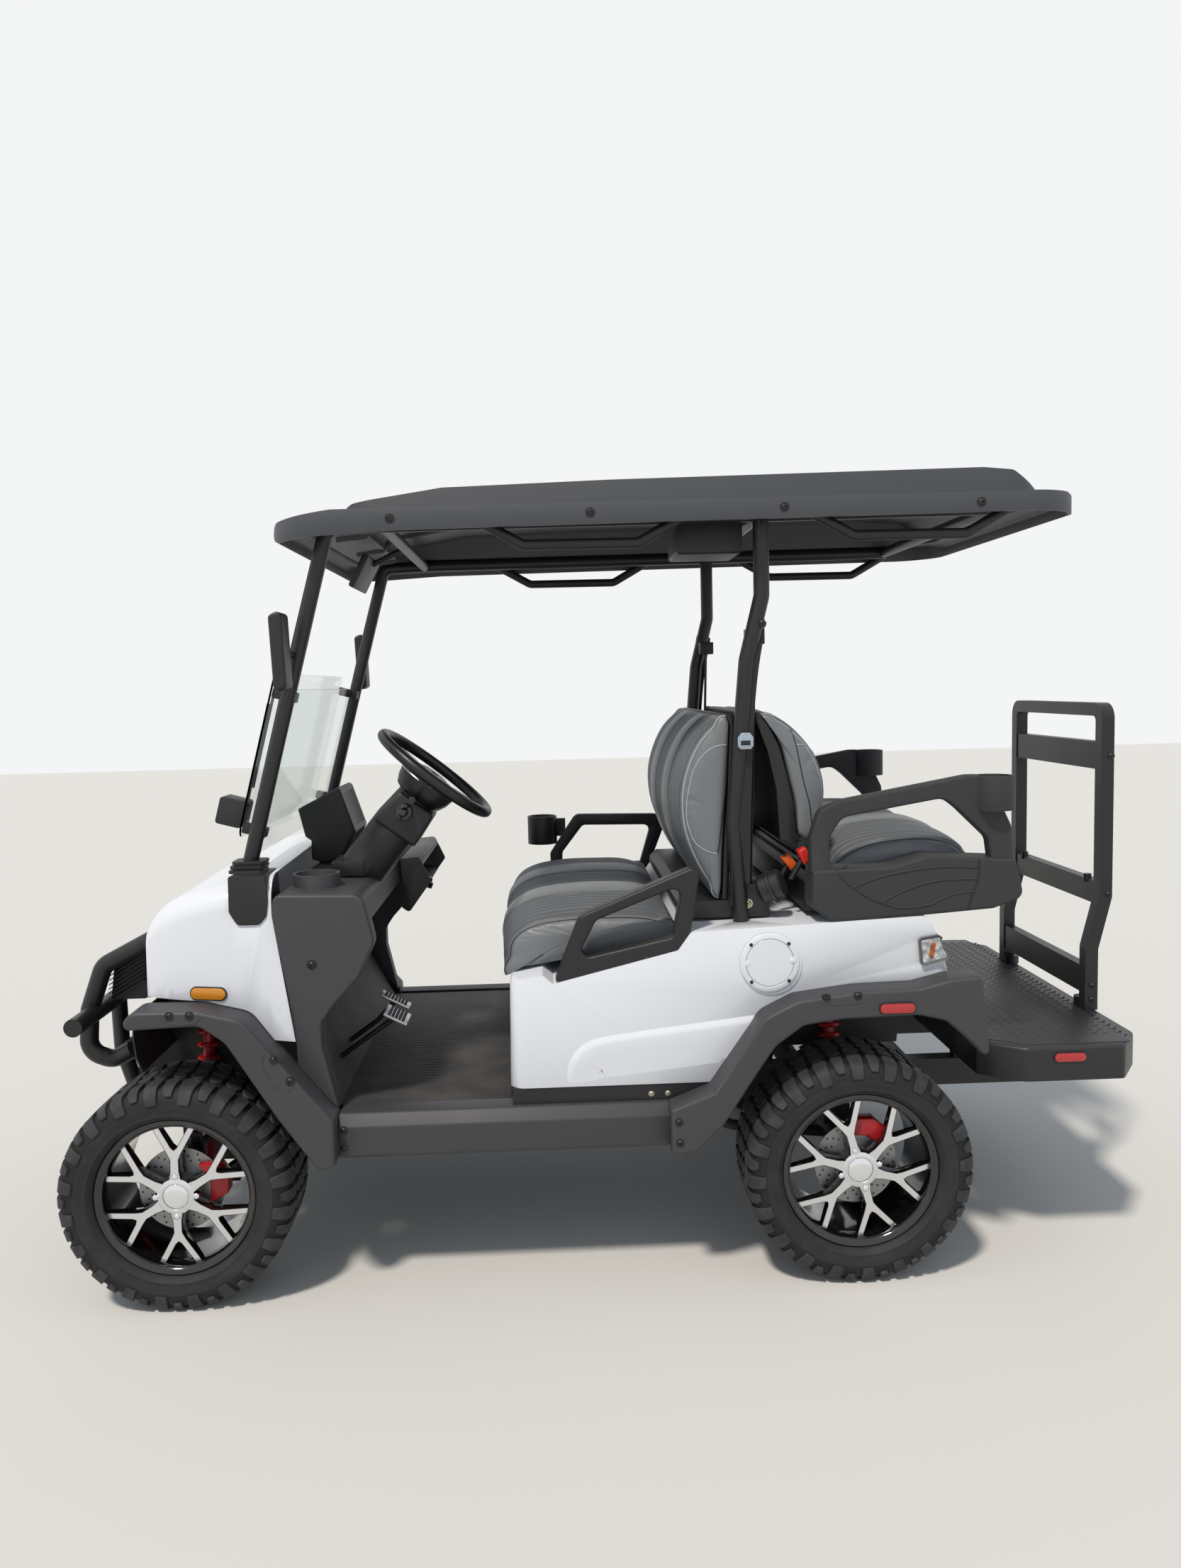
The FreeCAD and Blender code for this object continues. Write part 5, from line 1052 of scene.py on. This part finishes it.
def pad(name, face_mm, back_mm, half, crown):
    """A padded bar across the cart: its face carries the ribs and lobes, its back lies flat."""
    face = through(face_mm, 7.5)
    back = through(back_mm, 22.0)[1:-1]
    loop = face + back
    count = len(loop)
    along, walked = [], 0.0
    for i, point in enumerate(face):
        walked += math.dist(point, face[i - 1]) if i else 0.0
        along.append(walked)
    middle = [sum(p[0] for p in loop) / count, sum(p[1] for p in loop) / count]
    normals = []
    for i in range(count):
        before, after = loop[i - 1], loop[(i + 1) % count]
        run = Vector((after[0] - before[0], after[1] - before[1])).normalized()
        out = Vector((run.y, -run.x))
        if out.dot(Vector((loop[i][0] - middle[0], loop[i][1] - middle[1]))) < 0:
            out = -out
        normals.append(out)
    half_rows = stations(half)
    rows = [(-y, g, ribbed) for y, g, ribbed in half_rows[:0:-1]] + half_rows
    corners, sewn, threads = [], [], []
    for y, groove, ribbed in rows:
        thread = []
        for i, point in enumerate(loop):
            ease, wave = 0.0, 0.0
            if i < len(face):
                ends = min(along[i], walked - along[i])
                ease = level([(0, 0.0), (END_EASE, 1.0)], ends)
                wave = WAVE_WIDE * math.sin(2 * math.pi * along[i] / WAVE_LONG) * ease if ribbed else 0.0
            depth = RIB_DEEP * groove * level([(0, 0.0), (1, 1.0)], ease * 1.6)
            sunk = (level(crown, abs(y)) + depth) * ease
            corners.append(place(point[0] - normals[i].x * sunk, y + wave, point[1] - normals[i].y * sunk))
            if groove > 0.8 or i >= len(face) or ease < 0.4:
                sewn.append(len(corners) - 1)
            if groove > 0.99 and ribbed and ease > 0.25:
                thread.append(corners[-1] + Vector((normals[i].x, 0, normals[i].y)) * 0.0004)
        if len(thread) > 2:
            threads.append(thread)
    faces, finish = [], []
    for k in range(len(rows) - 1):
        for i in range(count):
            after = (i + 1) % count
            faces.append((k * count + i, k * count + after, (k + 1) * count + after, (k + 1) * count + i))
            # Rib panel faces take the darker vinyl, which is painted shade for the grooves between the ribs
            ribbed = rows[k][2] and rows[k + 1][2] or (rows[k][2] != rows[k + 1][2] and abs(rows[k][0]) > 100)
            finish.append(1 if ribbed and i < len(face) - 1 else 0)
    for start, side in ((0, -1), ((len(rows) - 1) * count, 1)):
        ring = list(range(start, start + count))
        centre = sum((corners[i] for i in ring), Vector()) / count
        for share, short in CHEEK_RINGS:
            following = list(range(len(corners), len(corners) + count))
            for i in range(count):
                spot = centre + (corners[start + i] - centre) * share
                spot.y = side * (half - short) / 1000
                corners.append(spot)
            for i in range(count):
                after = (i + 1) % count
                faces.append((ring[i], ring[after], following[after], following[i]))
                finish.append(0)
            ring = following
        corners.append(Vector((centre.x, side * half / 1000, centre.z)))
        for i in range(count):
            faces.append((ring[i], ring[(i + 1) % count], len(corners) - 1))
            finish.append(0)
    mesh = bpy.data.meshes.new(name)
    mesh.from_pydata([tuple(c) for c in corners], [], faces)
    mesh.materials.append(vinyl_plain)
    mesh.materials.append(vinyl_ribbed_painted_shade)
    mesh.polygons.foreach_set("material_index", finish)
    piece = bpy.data.objects.new(name, mesh)
    bpy.context.scene.collection.objects.link(piece)
    bpy.ops.object.select_all(action="DESELECT")
    bpy.context.view_layer.objects.active = piece
    piece.select_set(True)
    bpy.ops.object.mode_set(mode="EDIT")
    bpy.ops.mesh.select_all(action="SELECT")
    bpy.ops.mesh.normals_make_consistent(inside=False)
    bpy.ops.object.mode_set(mode="OBJECT")
    piece.vertex_groups.new(name="sewn").add(sewn, 1.0, "REPLACE")
    last = (len(rows) - 1) * count
    seams = {-1: corners[:len(face)], 1: corners[last:last + len(face)]}
    return piece, seams, threads


def stuffed(piece, most):
    """Let the foam press the cover out between its seams, by no more than a set distance."""
    rest = [v.co.copy() for v in piece.data.vertices]
    bpy.context.view_layer.objects.active = piece
    cloth = piece.modifiers.new("foam", "CLOTH")
    cloth.settings.vertex_group_mass = "sewn"
    cloth.settings.use_pressure = True
    cloth.settings.uniform_pressure_force = 4.0
    cloth.settings.effector_weights.gravity = 0.0
    cloth.settings.quality = 4
    cloth.point_cache.frame_start = 1
    cloth.point_cache.frame_end = 20
    for number in range(1, 21):
        bpy.context.scene.frame_set(number)
    pressed = piece.evaluated_get(bpy.context.evaluated_depsgraph_get())
    moved = [v.co.copy() for v in pressed.data.vertices]
    piece.modifiers.remove(cloth)
    bpy.context.scene.frame_set(1)
    for vertex, old, new in zip(piece.data.vertices, rest, moved):
        step = new - old
        if step.length > most:
            step *= most / step.length
        vertex.co = old + step


# Columns: name, body, half width, crown, face from one end to the other, back
PADS_MM = [
    ("front_cushion", "chassis", 500, CUSHION_CROWN,
     [(28, 772), (42, 796), (47, 828), (41, 862), (22, 892), (-10, 916), (-60, 933), (-140, 942), (-240, 944),
      (-330, 939), (-385, 922), (-408, 893)],
     [(-408, 893), (-402, 858), (-300, 839), (-70, 800), (21, 788), (25, 774), (28, 772)]),
    ("front_backrest", "chassis", 480, BACK_CROWN,
     [(-524, 952), (-502, 962), (-472, 1003), (-441, 1064), (-421, 1125), (-414, 1190), (-419, 1250),
      (-436, 1310), (-463, 1363), (-497, 1402), (-528, 1421), (-549, 1421)],
     [(-549, 1421), (-557, 1404), (-552, 1300), (-547, 1222), (-538, 1100), (-530, 975), (-524, 952)]),
    ("rear_backrest", "chassis", 480, BACK_CROWN,
     [(-640, 1422), (-668, 1431), (-705, 1415), (-748, 1379), (-787, 1328), (-808, 1276), (-817, 1231),
      (-815, 1187), (-804, 1140), (-786, 1108)],
     [(-786, 1108), (-752, 1100), (-734, 1112), (-727, 1190), (-713, 1252), (-691, 1340), (-666, 1393),
      (-644, 1416), (-640, 1422)]),
    ("rear_cushion", "rear_seat", 492, CUSHION_CROWN,
     [(-806, 1008), (-811, 1036), (-826, 1068), (-870, 1096), (-930, 1113), (-1000, 1121), (-1070, 1120),
      (-1130, 1107), (-1171, 1082), (-1191, 1048), (-1193, 1012)],
     [(-1193, 1012), (-1186, 1004), (-1000, 1003.5), (-815, 1003.5), (-806, 1008)]),
]
for name, body, half, crown, face_mm, back_mm in PADS_MM:
    piece, seams, threads = pad(name + "_pad", face_mm, back_mm, half, crown)
    stuffed(piece, 0.006)
    finished(piece, name + "_pad", body, smooth_deg=60)
    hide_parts(name)
    # Cushions take the dark piping, partly painted shade for the crease along their seams
    tone = piping_dark_painted_shade if name.endswith("cushion") else piping_light
    cords = [corded("piping", seams[side], 0.0022, tone) for side in (-1, 1)]
    cords += [corded("thread", thread, 0.0010, thread_grey) for thread in threads]
    finished(joined(cords), name + "_piping", body, smooth_deg=60)

# Seams on the cheeks of the backrests, in millimetres along and up
CHEEK_FROM = 0.44
CHEEK_SEAMS_MM = {
    "front": [[(-556, 1349), (-518, 1344), (-488, 1323), (-464, 1285), (-449, 1227), (-444, 1178),
               (-449, 1139), (-465, 1099), (-494, 1077), (-521, 1069)],
              [(-556, 1342), (-552, 1300), (-547, 1250), (-537, 1186), (-529, 1120), (-521, 1069)]],
    "rear": [[(-726, 1344), (-757, 1339), (-784, 1312), (-803, 1272), (-811, 1223), (-809, 1180)],
             [(-714, 1388), (-726, 1344), (-744, 1252), (-760, 1189), (-765, 1145), (-768, 1106)]],
}
for end, lines in CHEEK_SEAMS_MM.items():
    cords = []
    for side in (-1, 1):
        for number, line in enumerate(lines):
            spots = []
            for x, z in through(line, 9.0):
                found = landed([end + "_backrest_pad"], (x, side * 600, z), (0, -side, 0))
                if found and abs(found[0].y) > CHEEK_FROM:
                    spots.append(found[0])
            if len(spots) > 2:
                # The second seam on each cheek takes the dark piping, partly painted shade for the crease
                # beside it
                cords.append(corded("seam", spots, 0.0016, piping_light if number == 0 else piping_dark_painted_shade))
    finished(joined(cords), end + "_cheek_seams", "chassis", smooth_deg=60)


def across(name, corners_mm, outer_mm, wide):
    """A plate of a side outline, as wide as given, that reaches in across the cart from an offset."""
    plate = extruded(name, [(x / 1000, z / 1000) for x, z in corners_mm], wide)
    plate.data.transform(Matrix.Rotation(math.radians(90), 4, "X"))
    plate.data.transform(Matrix.Translation(place(0, outer_mm, 0)))
    return plate


# Back shells: each backrest is clipped to a black moulding whose edge shows behind its cover
SHELLS_MM = {
    "front": [(-549, 1424), (-562, 1426), (-572, 1404), (-566, 1222), (-548, 950), (-532, 946), (-540, 1100),
              (-550, 1222), (-559, 1400)],
    "rear": [(-636, 1430), (-622, 1426), (-626, 1404), (-654, 1330), (-676, 1230), (-684, 1098), (-745, 1092),
             (-728, 1112), (-722, 1190), (-708, 1252), (-686, 1340), (-661, 1393), (-640, 1418)],
}
for end, corners in SHELLS_MM.items():
    plate = across("shell", corners, 475, 0.950)
    bevelled(plate, 0.004, segments=2, angle=30)
    finished(plate, end + "_backrest_shell", "chassis", shell_black, smooth_deg=40)


# Rear seat: a deck that flips with its cushion lies on a moulded base, between two side panels that
# carry the armrests. Ribs sweep back over each grained panel to a joint near its end.
recast("rear_seat_base", abs_black, bevel_mm=1.2)
recast("rear_seat_deck", abs_black, body="rear_seat", bevel_mm=1.5)
# Grained ABS: nearly black and matt, with a coarse leather grain
panel_grain = coated("moulded_abs_grained", "#2f3033", 0.7, 1.4, 0.35)
recast("rear_side_panels", panel_grain, bevel_mm=1.2)
PANEL_RIBS_MM = [
    [(-802, 1034), (-865, 1053), (-933, 1066), (-996, 1070), (-1068, 1068), (-1152, 1058)],
    [(-843, 991), (-910, 1015), (-1000, 1031), (-1077, 1036), (-1156, 1032)],
    [(-915, 952), (-978, 982), (-1046, 1000), (-1114, 1004), (-1154, 1003)],
    [(-1041, 943), (-1077, 960), (-1114, 969), (-1148, 972)],
    [(-809, 1027), (-820, 1011), (-843, 991), (-879, 966), (-915, 950), (-951, 938), (-996, 936),
     (-1041, 943)],
]
PANEL_JOINT_MM = [(-1161, 1052), (-1159, 1008), (-1148, 972), (-1132, 930)]
PANEL_FROM = 0.56


def drawn_on_panel(name, line_mm, side, radius, material):
    """A cord laid on the outer face of a side panel, along a line."""
    spots = [landed(["rear_side_panels_skin"], (x, side * CLEAR_MM, z), (0, -side, 0))
             for x, z in through(line_mm, 9.0)]
    spots = [found[0] for found in spots if found and abs(found[0].y) > PANEL_FROM]
    return [corded(name, spots, radius, material)] if len(spots) > 2 else []


ribs, joints = [], []
for side in (1, -1):
    for line in PANEL_RIBS_MM:
        ribs += drawn_on_panel("rib", line, side, 0.0026, panel_grain)
    joints += drawn_on_panel("joint", PANEL_JOINT_MM, side, 0.0022, abs_black)
finished(joined(ribs), "side_panel_ribs", "chassis", smooth_deg=60)
finished(joined(joints), "side_panel_joints", "chassis", smooth_deg=60)


# Steering: a moulded column carries a wheel of foamed grip over a steel core, with silver inserts on
# its spokes and a bowl under its hub.
recast("steering_column", abs_black, bevel_mm=1.2)
# Grip: soft black foam with a leather grain
grip = coated("wheel_grip_black", "#101113", 0.38, 1.3, 0.15)
recast("steering_wheel", grip, body="steering_wheel", smooth_deg=40)
# Silver trim: metallic paint, smooth and bright
silver = coated("painted_trim_silver", "#b9bcc0", 0.3, 2.0, 0.01)
silver.node_tree.nodes["Principled BSDF"].inputs["Metallic"].default_value = 0.8
WHEEL_MM = (213, 270, 1281)
WHEEL_LEAN = math.radians(39)
SHROUD_MM = [(302, 1240), (215, 1171), (271, 1087), (378, 1165)]
axis = Vector((-math.sin(WHEEL_LEAN), 0, math.cos(WHEEL_LEAN)))
level_x = Vector((-math.cos(WHEEL_LEAN), 0, -math.sin(WHEEL_LEAN)))
bowl = spun("bowl", [(r / 1000, y / 1000) for r, y in
                     [(0, -83), (58, -83), (69, -77), (79, -57), (84, -34), (84, -16), (74, -10),
                      (0, -10)]], 48)
shroud = seated(bowl, place(*WHEEL_MM), axis)
bpy.data.objects.remove(bowl)
finished(shroud, "wheel_hub_bowl", "steering_wheel", grip, smooth_deg=40)
case = extruded("case", [(x / 1000, z / 1000) for x, z in SHROUD_MM], 0.134)
bevelled(case, 0.010, segments=3, angle=30)
case.data.transform(Matrix.Rotation(math.radians(90), 4, "X"))
case.data.transform(Matrix.Translation(place(0, 337, 0)))
finished(case, "column_shroud", "chassis", abs_black, smooth_deg=40)
inserts = []
SPOKE_ANGLES_DEG = (90, 210, 330)
for angle_deg in SPOKE_ANGLES_DEG:
    angle = math.radians(angle_deg)
    out = Vector((0, 1, 0)) * math.sin(angle) - level_x * math.cos(angle)
    bpy.ops.mesh.primitive_cube_add(size=1)
    sleeve = bpy.context.object
    sleeve.data.transform(Matrix.Diagonal((0.062, 0.038, 0.014, 1)))
    bevelled(sleeve, 0.003, segments=2, angle=30)
    turn = Matrix((out, axis.cross(out), axis)).transposed().to_4x4()
    sleeve.data.transform(Matrix.Translation(place(*WHEEL_MM) + out * 0.106 - axis * 0.016) @ turn)
    inserts.append(sleeve)
# A silver line runs round the front of the bowl, high at its end and then level
arc = []
for number in range(25):
    angle = math.radians(192 - 3.7 * number)
    out = level_x * math.cos(angle) + Vector((0, 1, 0)) * math.sin(angle)
    drop = level([(0, 0.014), (6, 0.032)], number)
    arc.append(place(*WHEEL_MM) + out * 0.0842 - axis * drop)
inserts.append(corded("arc", arc, 0.0024, silver))
finished(joined(inserts), "wheel_inserts", "steering_wheel", silver, smooth_deg=30)


# Pedals: pads of cast aluminium with ribbed rubber faces, on arms that rise from the firewall's foot.
# The brake's is the wide one.
# Pedal rubber: dull and dark grey
pedal_rubber = coated("pedal_rubber_black", "#2a2b2d", 0.7, 1.5, 0.2)
# Columns: inner and outer side, upper edge, lower edge
PEDALS_MM = [(270, 366, (368, 641), (305, 609)), (150, 202, (400, 650), (319, 607))]
FRAME_WIDE = 0.006
BAR_PITCH = 0.010
plates, rubbers, arms = [], [], []
for inner, outer, (upper_x, upper_z), (lower_x, lower_z) in PEDALS_MM:
    fall = Vector((lower_x - upper_x, 0, lower_z - upper_z)) / 1000
    over = Vector((0, 1, 0)).cross(fall).normalized()
    lean = Matrix((fall.normalized(), Vector((0, -1, 0)), over)).transposed().to_4x4()
    spot = Matrix.Translation(place(upper_x, outer, upper_z)) @ lean
    long, wide = fall.length, (outer - inner) / 1000
    plate = extruded("plate", [(0, 0), (long, 0), (long, wide), (0, wide)], 0.008)
    bevelled(plate, 0.003, segments=2, angle=30)
    plate.data.transform(spot)
    plates.append(plate)
    bars = int((long - 2 * FRAME_WIDE) // BAR_PITCH)
    for number in range(bars):
        start = (long - BAR_PITCH * bars + 0.002) / 2 + BAR_PITCH * number
        end = start + BAR_PITCH - 0.002
        bar = extruded("bar", [(start, FRAME_WIDE), (end, FRAME_WIDE), (end, wide - FRAME_WIDE),
                               (start, wide - FRAME_WIDE)], 0.011)
        bevelled(bar, 0.001, segments=1, angle=30)
        bar.data.transform(spot)
        rubbers.append(bar)
    middle = (inner + outer) / 2
    arms.append(corded("arm", [place((upper_x + lower_x) / 2, middle, (upper_z + lower_z) / 2),
                               place(410, middle, 575), place(489, middle, 520.5)], 0.007, powder_black))
finished(joined(plates), "pedal_plates", "chassis", silver, smooth_deg=30)
finished(joined(rubbers), "pedal_rubbers", "chassis", pedal_rubber, smooth_deg=30)
stems = finished(joined(arms), "pedal_arms", "chassis", powder_black, smooth_deg=50)
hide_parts("pedals")


# Knobs: the ignition switch on the column, and two smaller ones on the knee panel, one of them for
# forward and reverse. They are round plastic caps with a black gloss.
switch = spun("switch", [(r / 1000, y / 1000) for r, y in
                         [(0, 40), (8, 39), (12, 35), (13, 26), (14, 21), (21, 19), (23, 13), (23, -6)]], 32)
spot, normal = landed(["column_shroud"], (292, CLEAR_MM, 1186), (0, -1, 0))
knobs = [seated(switch, spot, normal)]
switch.data.transform(Matrix.Scale(0.7, 4))
for y, z in ((-95, 962), (-130, 905)):
    spot, normal = landed(["knee_panel_skin"], (100, y, z), (1, 0, 0))
    knobs.append(seated(switch, spot, normal))
bpy.data.objects.remove(switch)
finished(joined(knobs), "dash_knobs", "chassis", gloss_black, smooth_deg=30)


# Seat belts: woven webbing runs from anchors on the rear posts down to inertia reels, with plated
# steel tongues and coloured buckles on stalks. Screws hold it at the posts and at its feet.
recast("belt_hardware", abs_black, bevel_mm=1.2)
screwed("belt_anchor_screws", ["roof_frame_skin"], [(-612, 1440), (-640, 1650)], 9.0)
# Webbing: black polyester in a twill drawn about 3 mm apart, coarser than real so that it shows
webbing, tree, shader = new_material("polyester_webbing_black")
spots = add(tree, "TexCoord")
weave = add(tree, "TexWave", {"wave_type": "BANDS", "bands_direction": "DIAGONAL"},
            Vector=spots.outputs["Object"], Scale=130.0, Distortion=0.6)
relief = add(tree, "Bump", Height=weave.outputs["Fac"], Distance=0.0004, Strength=0.8)
tree.links.new(relief.outputs["Normal"], shader.inputs["Normal"])
shader.inputs["Base Color"].default_value = linear("#18191b")
shader.inputs["Roughness"].default_value = 0.75
shader.inputs["Sheen Weight"].default_value = 0.2
dress("seat_belts", webbing)
# Tongue: zinc-plated steel, blue-grey and bright
steel, tree, shader = new_material("plated_steel_tongue")
shader.inputs["Base Color"].default_value = linear("#a9b6c4")
shader.inputs["Metallic"].default_value = 1.0
shader.inputs["Roughness"].default_value = 0.25
# Buckles: smooth bright plastic
buckle_red = coated("buckle_plastic_red", "#d0261a", 0.4, 2.0, 0.03)
buckle_orange = coated("buckle_plastic_orange", "#e8631c", 0.4, 2.0, 0.03)
REEL_SECTION_MM = [(0, 30), (32, 30), (37, 26), (37, 6), (40, 4), (40, -4), (37, -6), (37, -26), (32, -30),
                   (0, -30)]
STRAP_MM = [(-628, 1660), (-606, 1540), (-592, 1400), (-584, 1220), (-578, 1019), (-575, 935)]
STRAP_SECTION_MM = [(24, -0.5), (23.5, 1.5), (-23.5, 1.5), (-24, -0.5)]
tongues, reels, reds, oranges, stalks = [], [], [], [], []
for side in (1, -1):
    plate = extruded("tongue", [(-0.011, 0.018), (0.011, 0.018), (0.020, 0.006), (0.020, -0.016),
                                (0.013, -0.024), (-0.013, -0.024), (-0.020, -0.016), (-0.020, 0.006)], 0.004)
    bevelled(plate, 0.0012)
    plate.data.transform(Matrix.Rotation(math.radians(90), 4, "X"))
    plate.data.transform(Matrix.Translation(place(-590, side * 524 + (4 if side > 0 else 0), 1362)))
    tongues.append(plate)
    slit = extruded("slit", [(-0.012, -0.002), (0.012, -0.002), (0.012, -0.014), (-0.012, -0.014)], 0.0050)
    slit.data.transform(Matrix.Rotation(math.radians(90), 4, "X"))
    slit.data.transform(Matrix.Translation(place(-590, side * 524 + (4.5 if side > 0 else 0.5), 1362)))
    stalks.append(slit)
    reel = spun("reel", [(r / 1000, y / 1000) for r, y in REEL_SECTION_MM], 36)
    reel.data.transform(Matrix.Translation(place(-660, side * 486, 982))
                        @ Matrix.Rotation(math.radians(24), 4, "Y")
                        @ Matrix.Rotation(math.radians(70 * side), 4, "Z"))
    reels.append(reel)
    for group, x, z, lean in ((reds, -745, 1058, 24), (oranges, -716, 1036, 38)):
        bpy.ops.mesh.primitive_cube_add(size=1)
        cube = bpy.context.object
        cube.data.transform(Matrix.Diagonal((0.024, 0.034, 0.040, 1)))
        bevelled(cube, 0.005, segments=3, angle=30)
        y = side * 450 + (26 if group is reds else -20)
        cube.data.transform(Matrix.Translation(place(x, y, z))
                            @ Matrix.Rotation(math.radians(lean), 4, "Y"))
        group.append(cube)
        low = place(x + 34, y, z - 62)
        high = place(x + 4, y, z - 10)
        stalks.append(corded("stalk", [low, (low + high) / 2, high], 0.008, abs_black))
straps = [lined("strap", STRAP_MM, STRAP_SECTION_MM, ["roof_frame_skin", "belt_hardware_skin"], side, 500)
          for side in (1, -1)]
finished(joined(straps), "belt_straps", "chassis", webbing, smooth_deg=40)
finished(joined(tongues), "belt_tongues", "chassis", steel, smooth_deg=30)
finished(joined(reels), "belt_reels", "chassis", abs_black, smooth_deg=30)
finished(joined(reds), "belt_buckles_red", "chassis", buckle_red, smooth_deg=40)
finished(joined(oranges), "belt_buckles_orange", "chassis", buckle_orange, smooth_deg=40)
finished(joined(stalks), "belt_stalks", "chassis", abs_black, smooth_deg=40)
screwed("belt_foot_screws", ["belt_hardware_skin", "rear_body_skin"], [(-598, 938)], 8.5,
        zinc_pale)


# Wheel housings: black liners of thin ABS close off the bodywork from the wheels, clipped in behind it, and
# they also stand in for the shade in the wheel wells. A dark block backs the grille's louvres as painted
# shade in the gaps between them, and a tray lies under the front backrest.
# Side outlines of the liners' inner walls
WALLS_MM = [
    [(600, 480), (640, 700), (700, 735), (955, 735), (955, 640), (952, 592), (1042, 502), (1042, 478)],
    [(-700, 500), (-760, 700), (-860, 735), (-1010, 735), (-1050, 640), (-1040, 500)],
]
APRON_MM = [(953, 715), (957, 660), (952, 610), (938, 572), (934, 575), (948, 612), (953, 660), (949, 715)]
GRILLE_SHADE_BLOCK_MM = [(926, 848), (926, 712), (1046, 711), (1070, 742), (1062, 775)]
GRILLE_SHADE_CHEEKS_MM = [(972, 847), (1064, 794), (1075, 712), (986, 712), (972, 780)]
TRAY_MM = [(-428, 902), (-428, 925), (-450, 946), (-655, 946), (-655, 902)]
liners = []
for side in (1, -1):
    for corners in WALLS_MM:
        liners.append(across("liner", corners, 300 if side > 0 else -296, 0.004))
    liners.append(across("liner", APRON_MM, 560 if side > 0 else -300, 0.260))
# The block and the two cheeks beside the grille are painted shade: dark pieces that fill the nose behind the
# louvres
liners.append(across("backing", GRILLE_SHADE_BLOCK_MM, 360, 0.720))
grille_low, grille_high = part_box("grille")
for outer in (grille_high.y - 0.020, grille_low.y + 0.040):
    liners.append(across("cheek", GRILLE_SHADE_CHEEKS_MM, outer * 1000, 0.020))
liners.append(across("tray", TRAY_MM, 475, 0.950))
finished(joined(liners), "wheel_liners_and_painted_shade", "chassis", abs_black, smooth_deg=40)
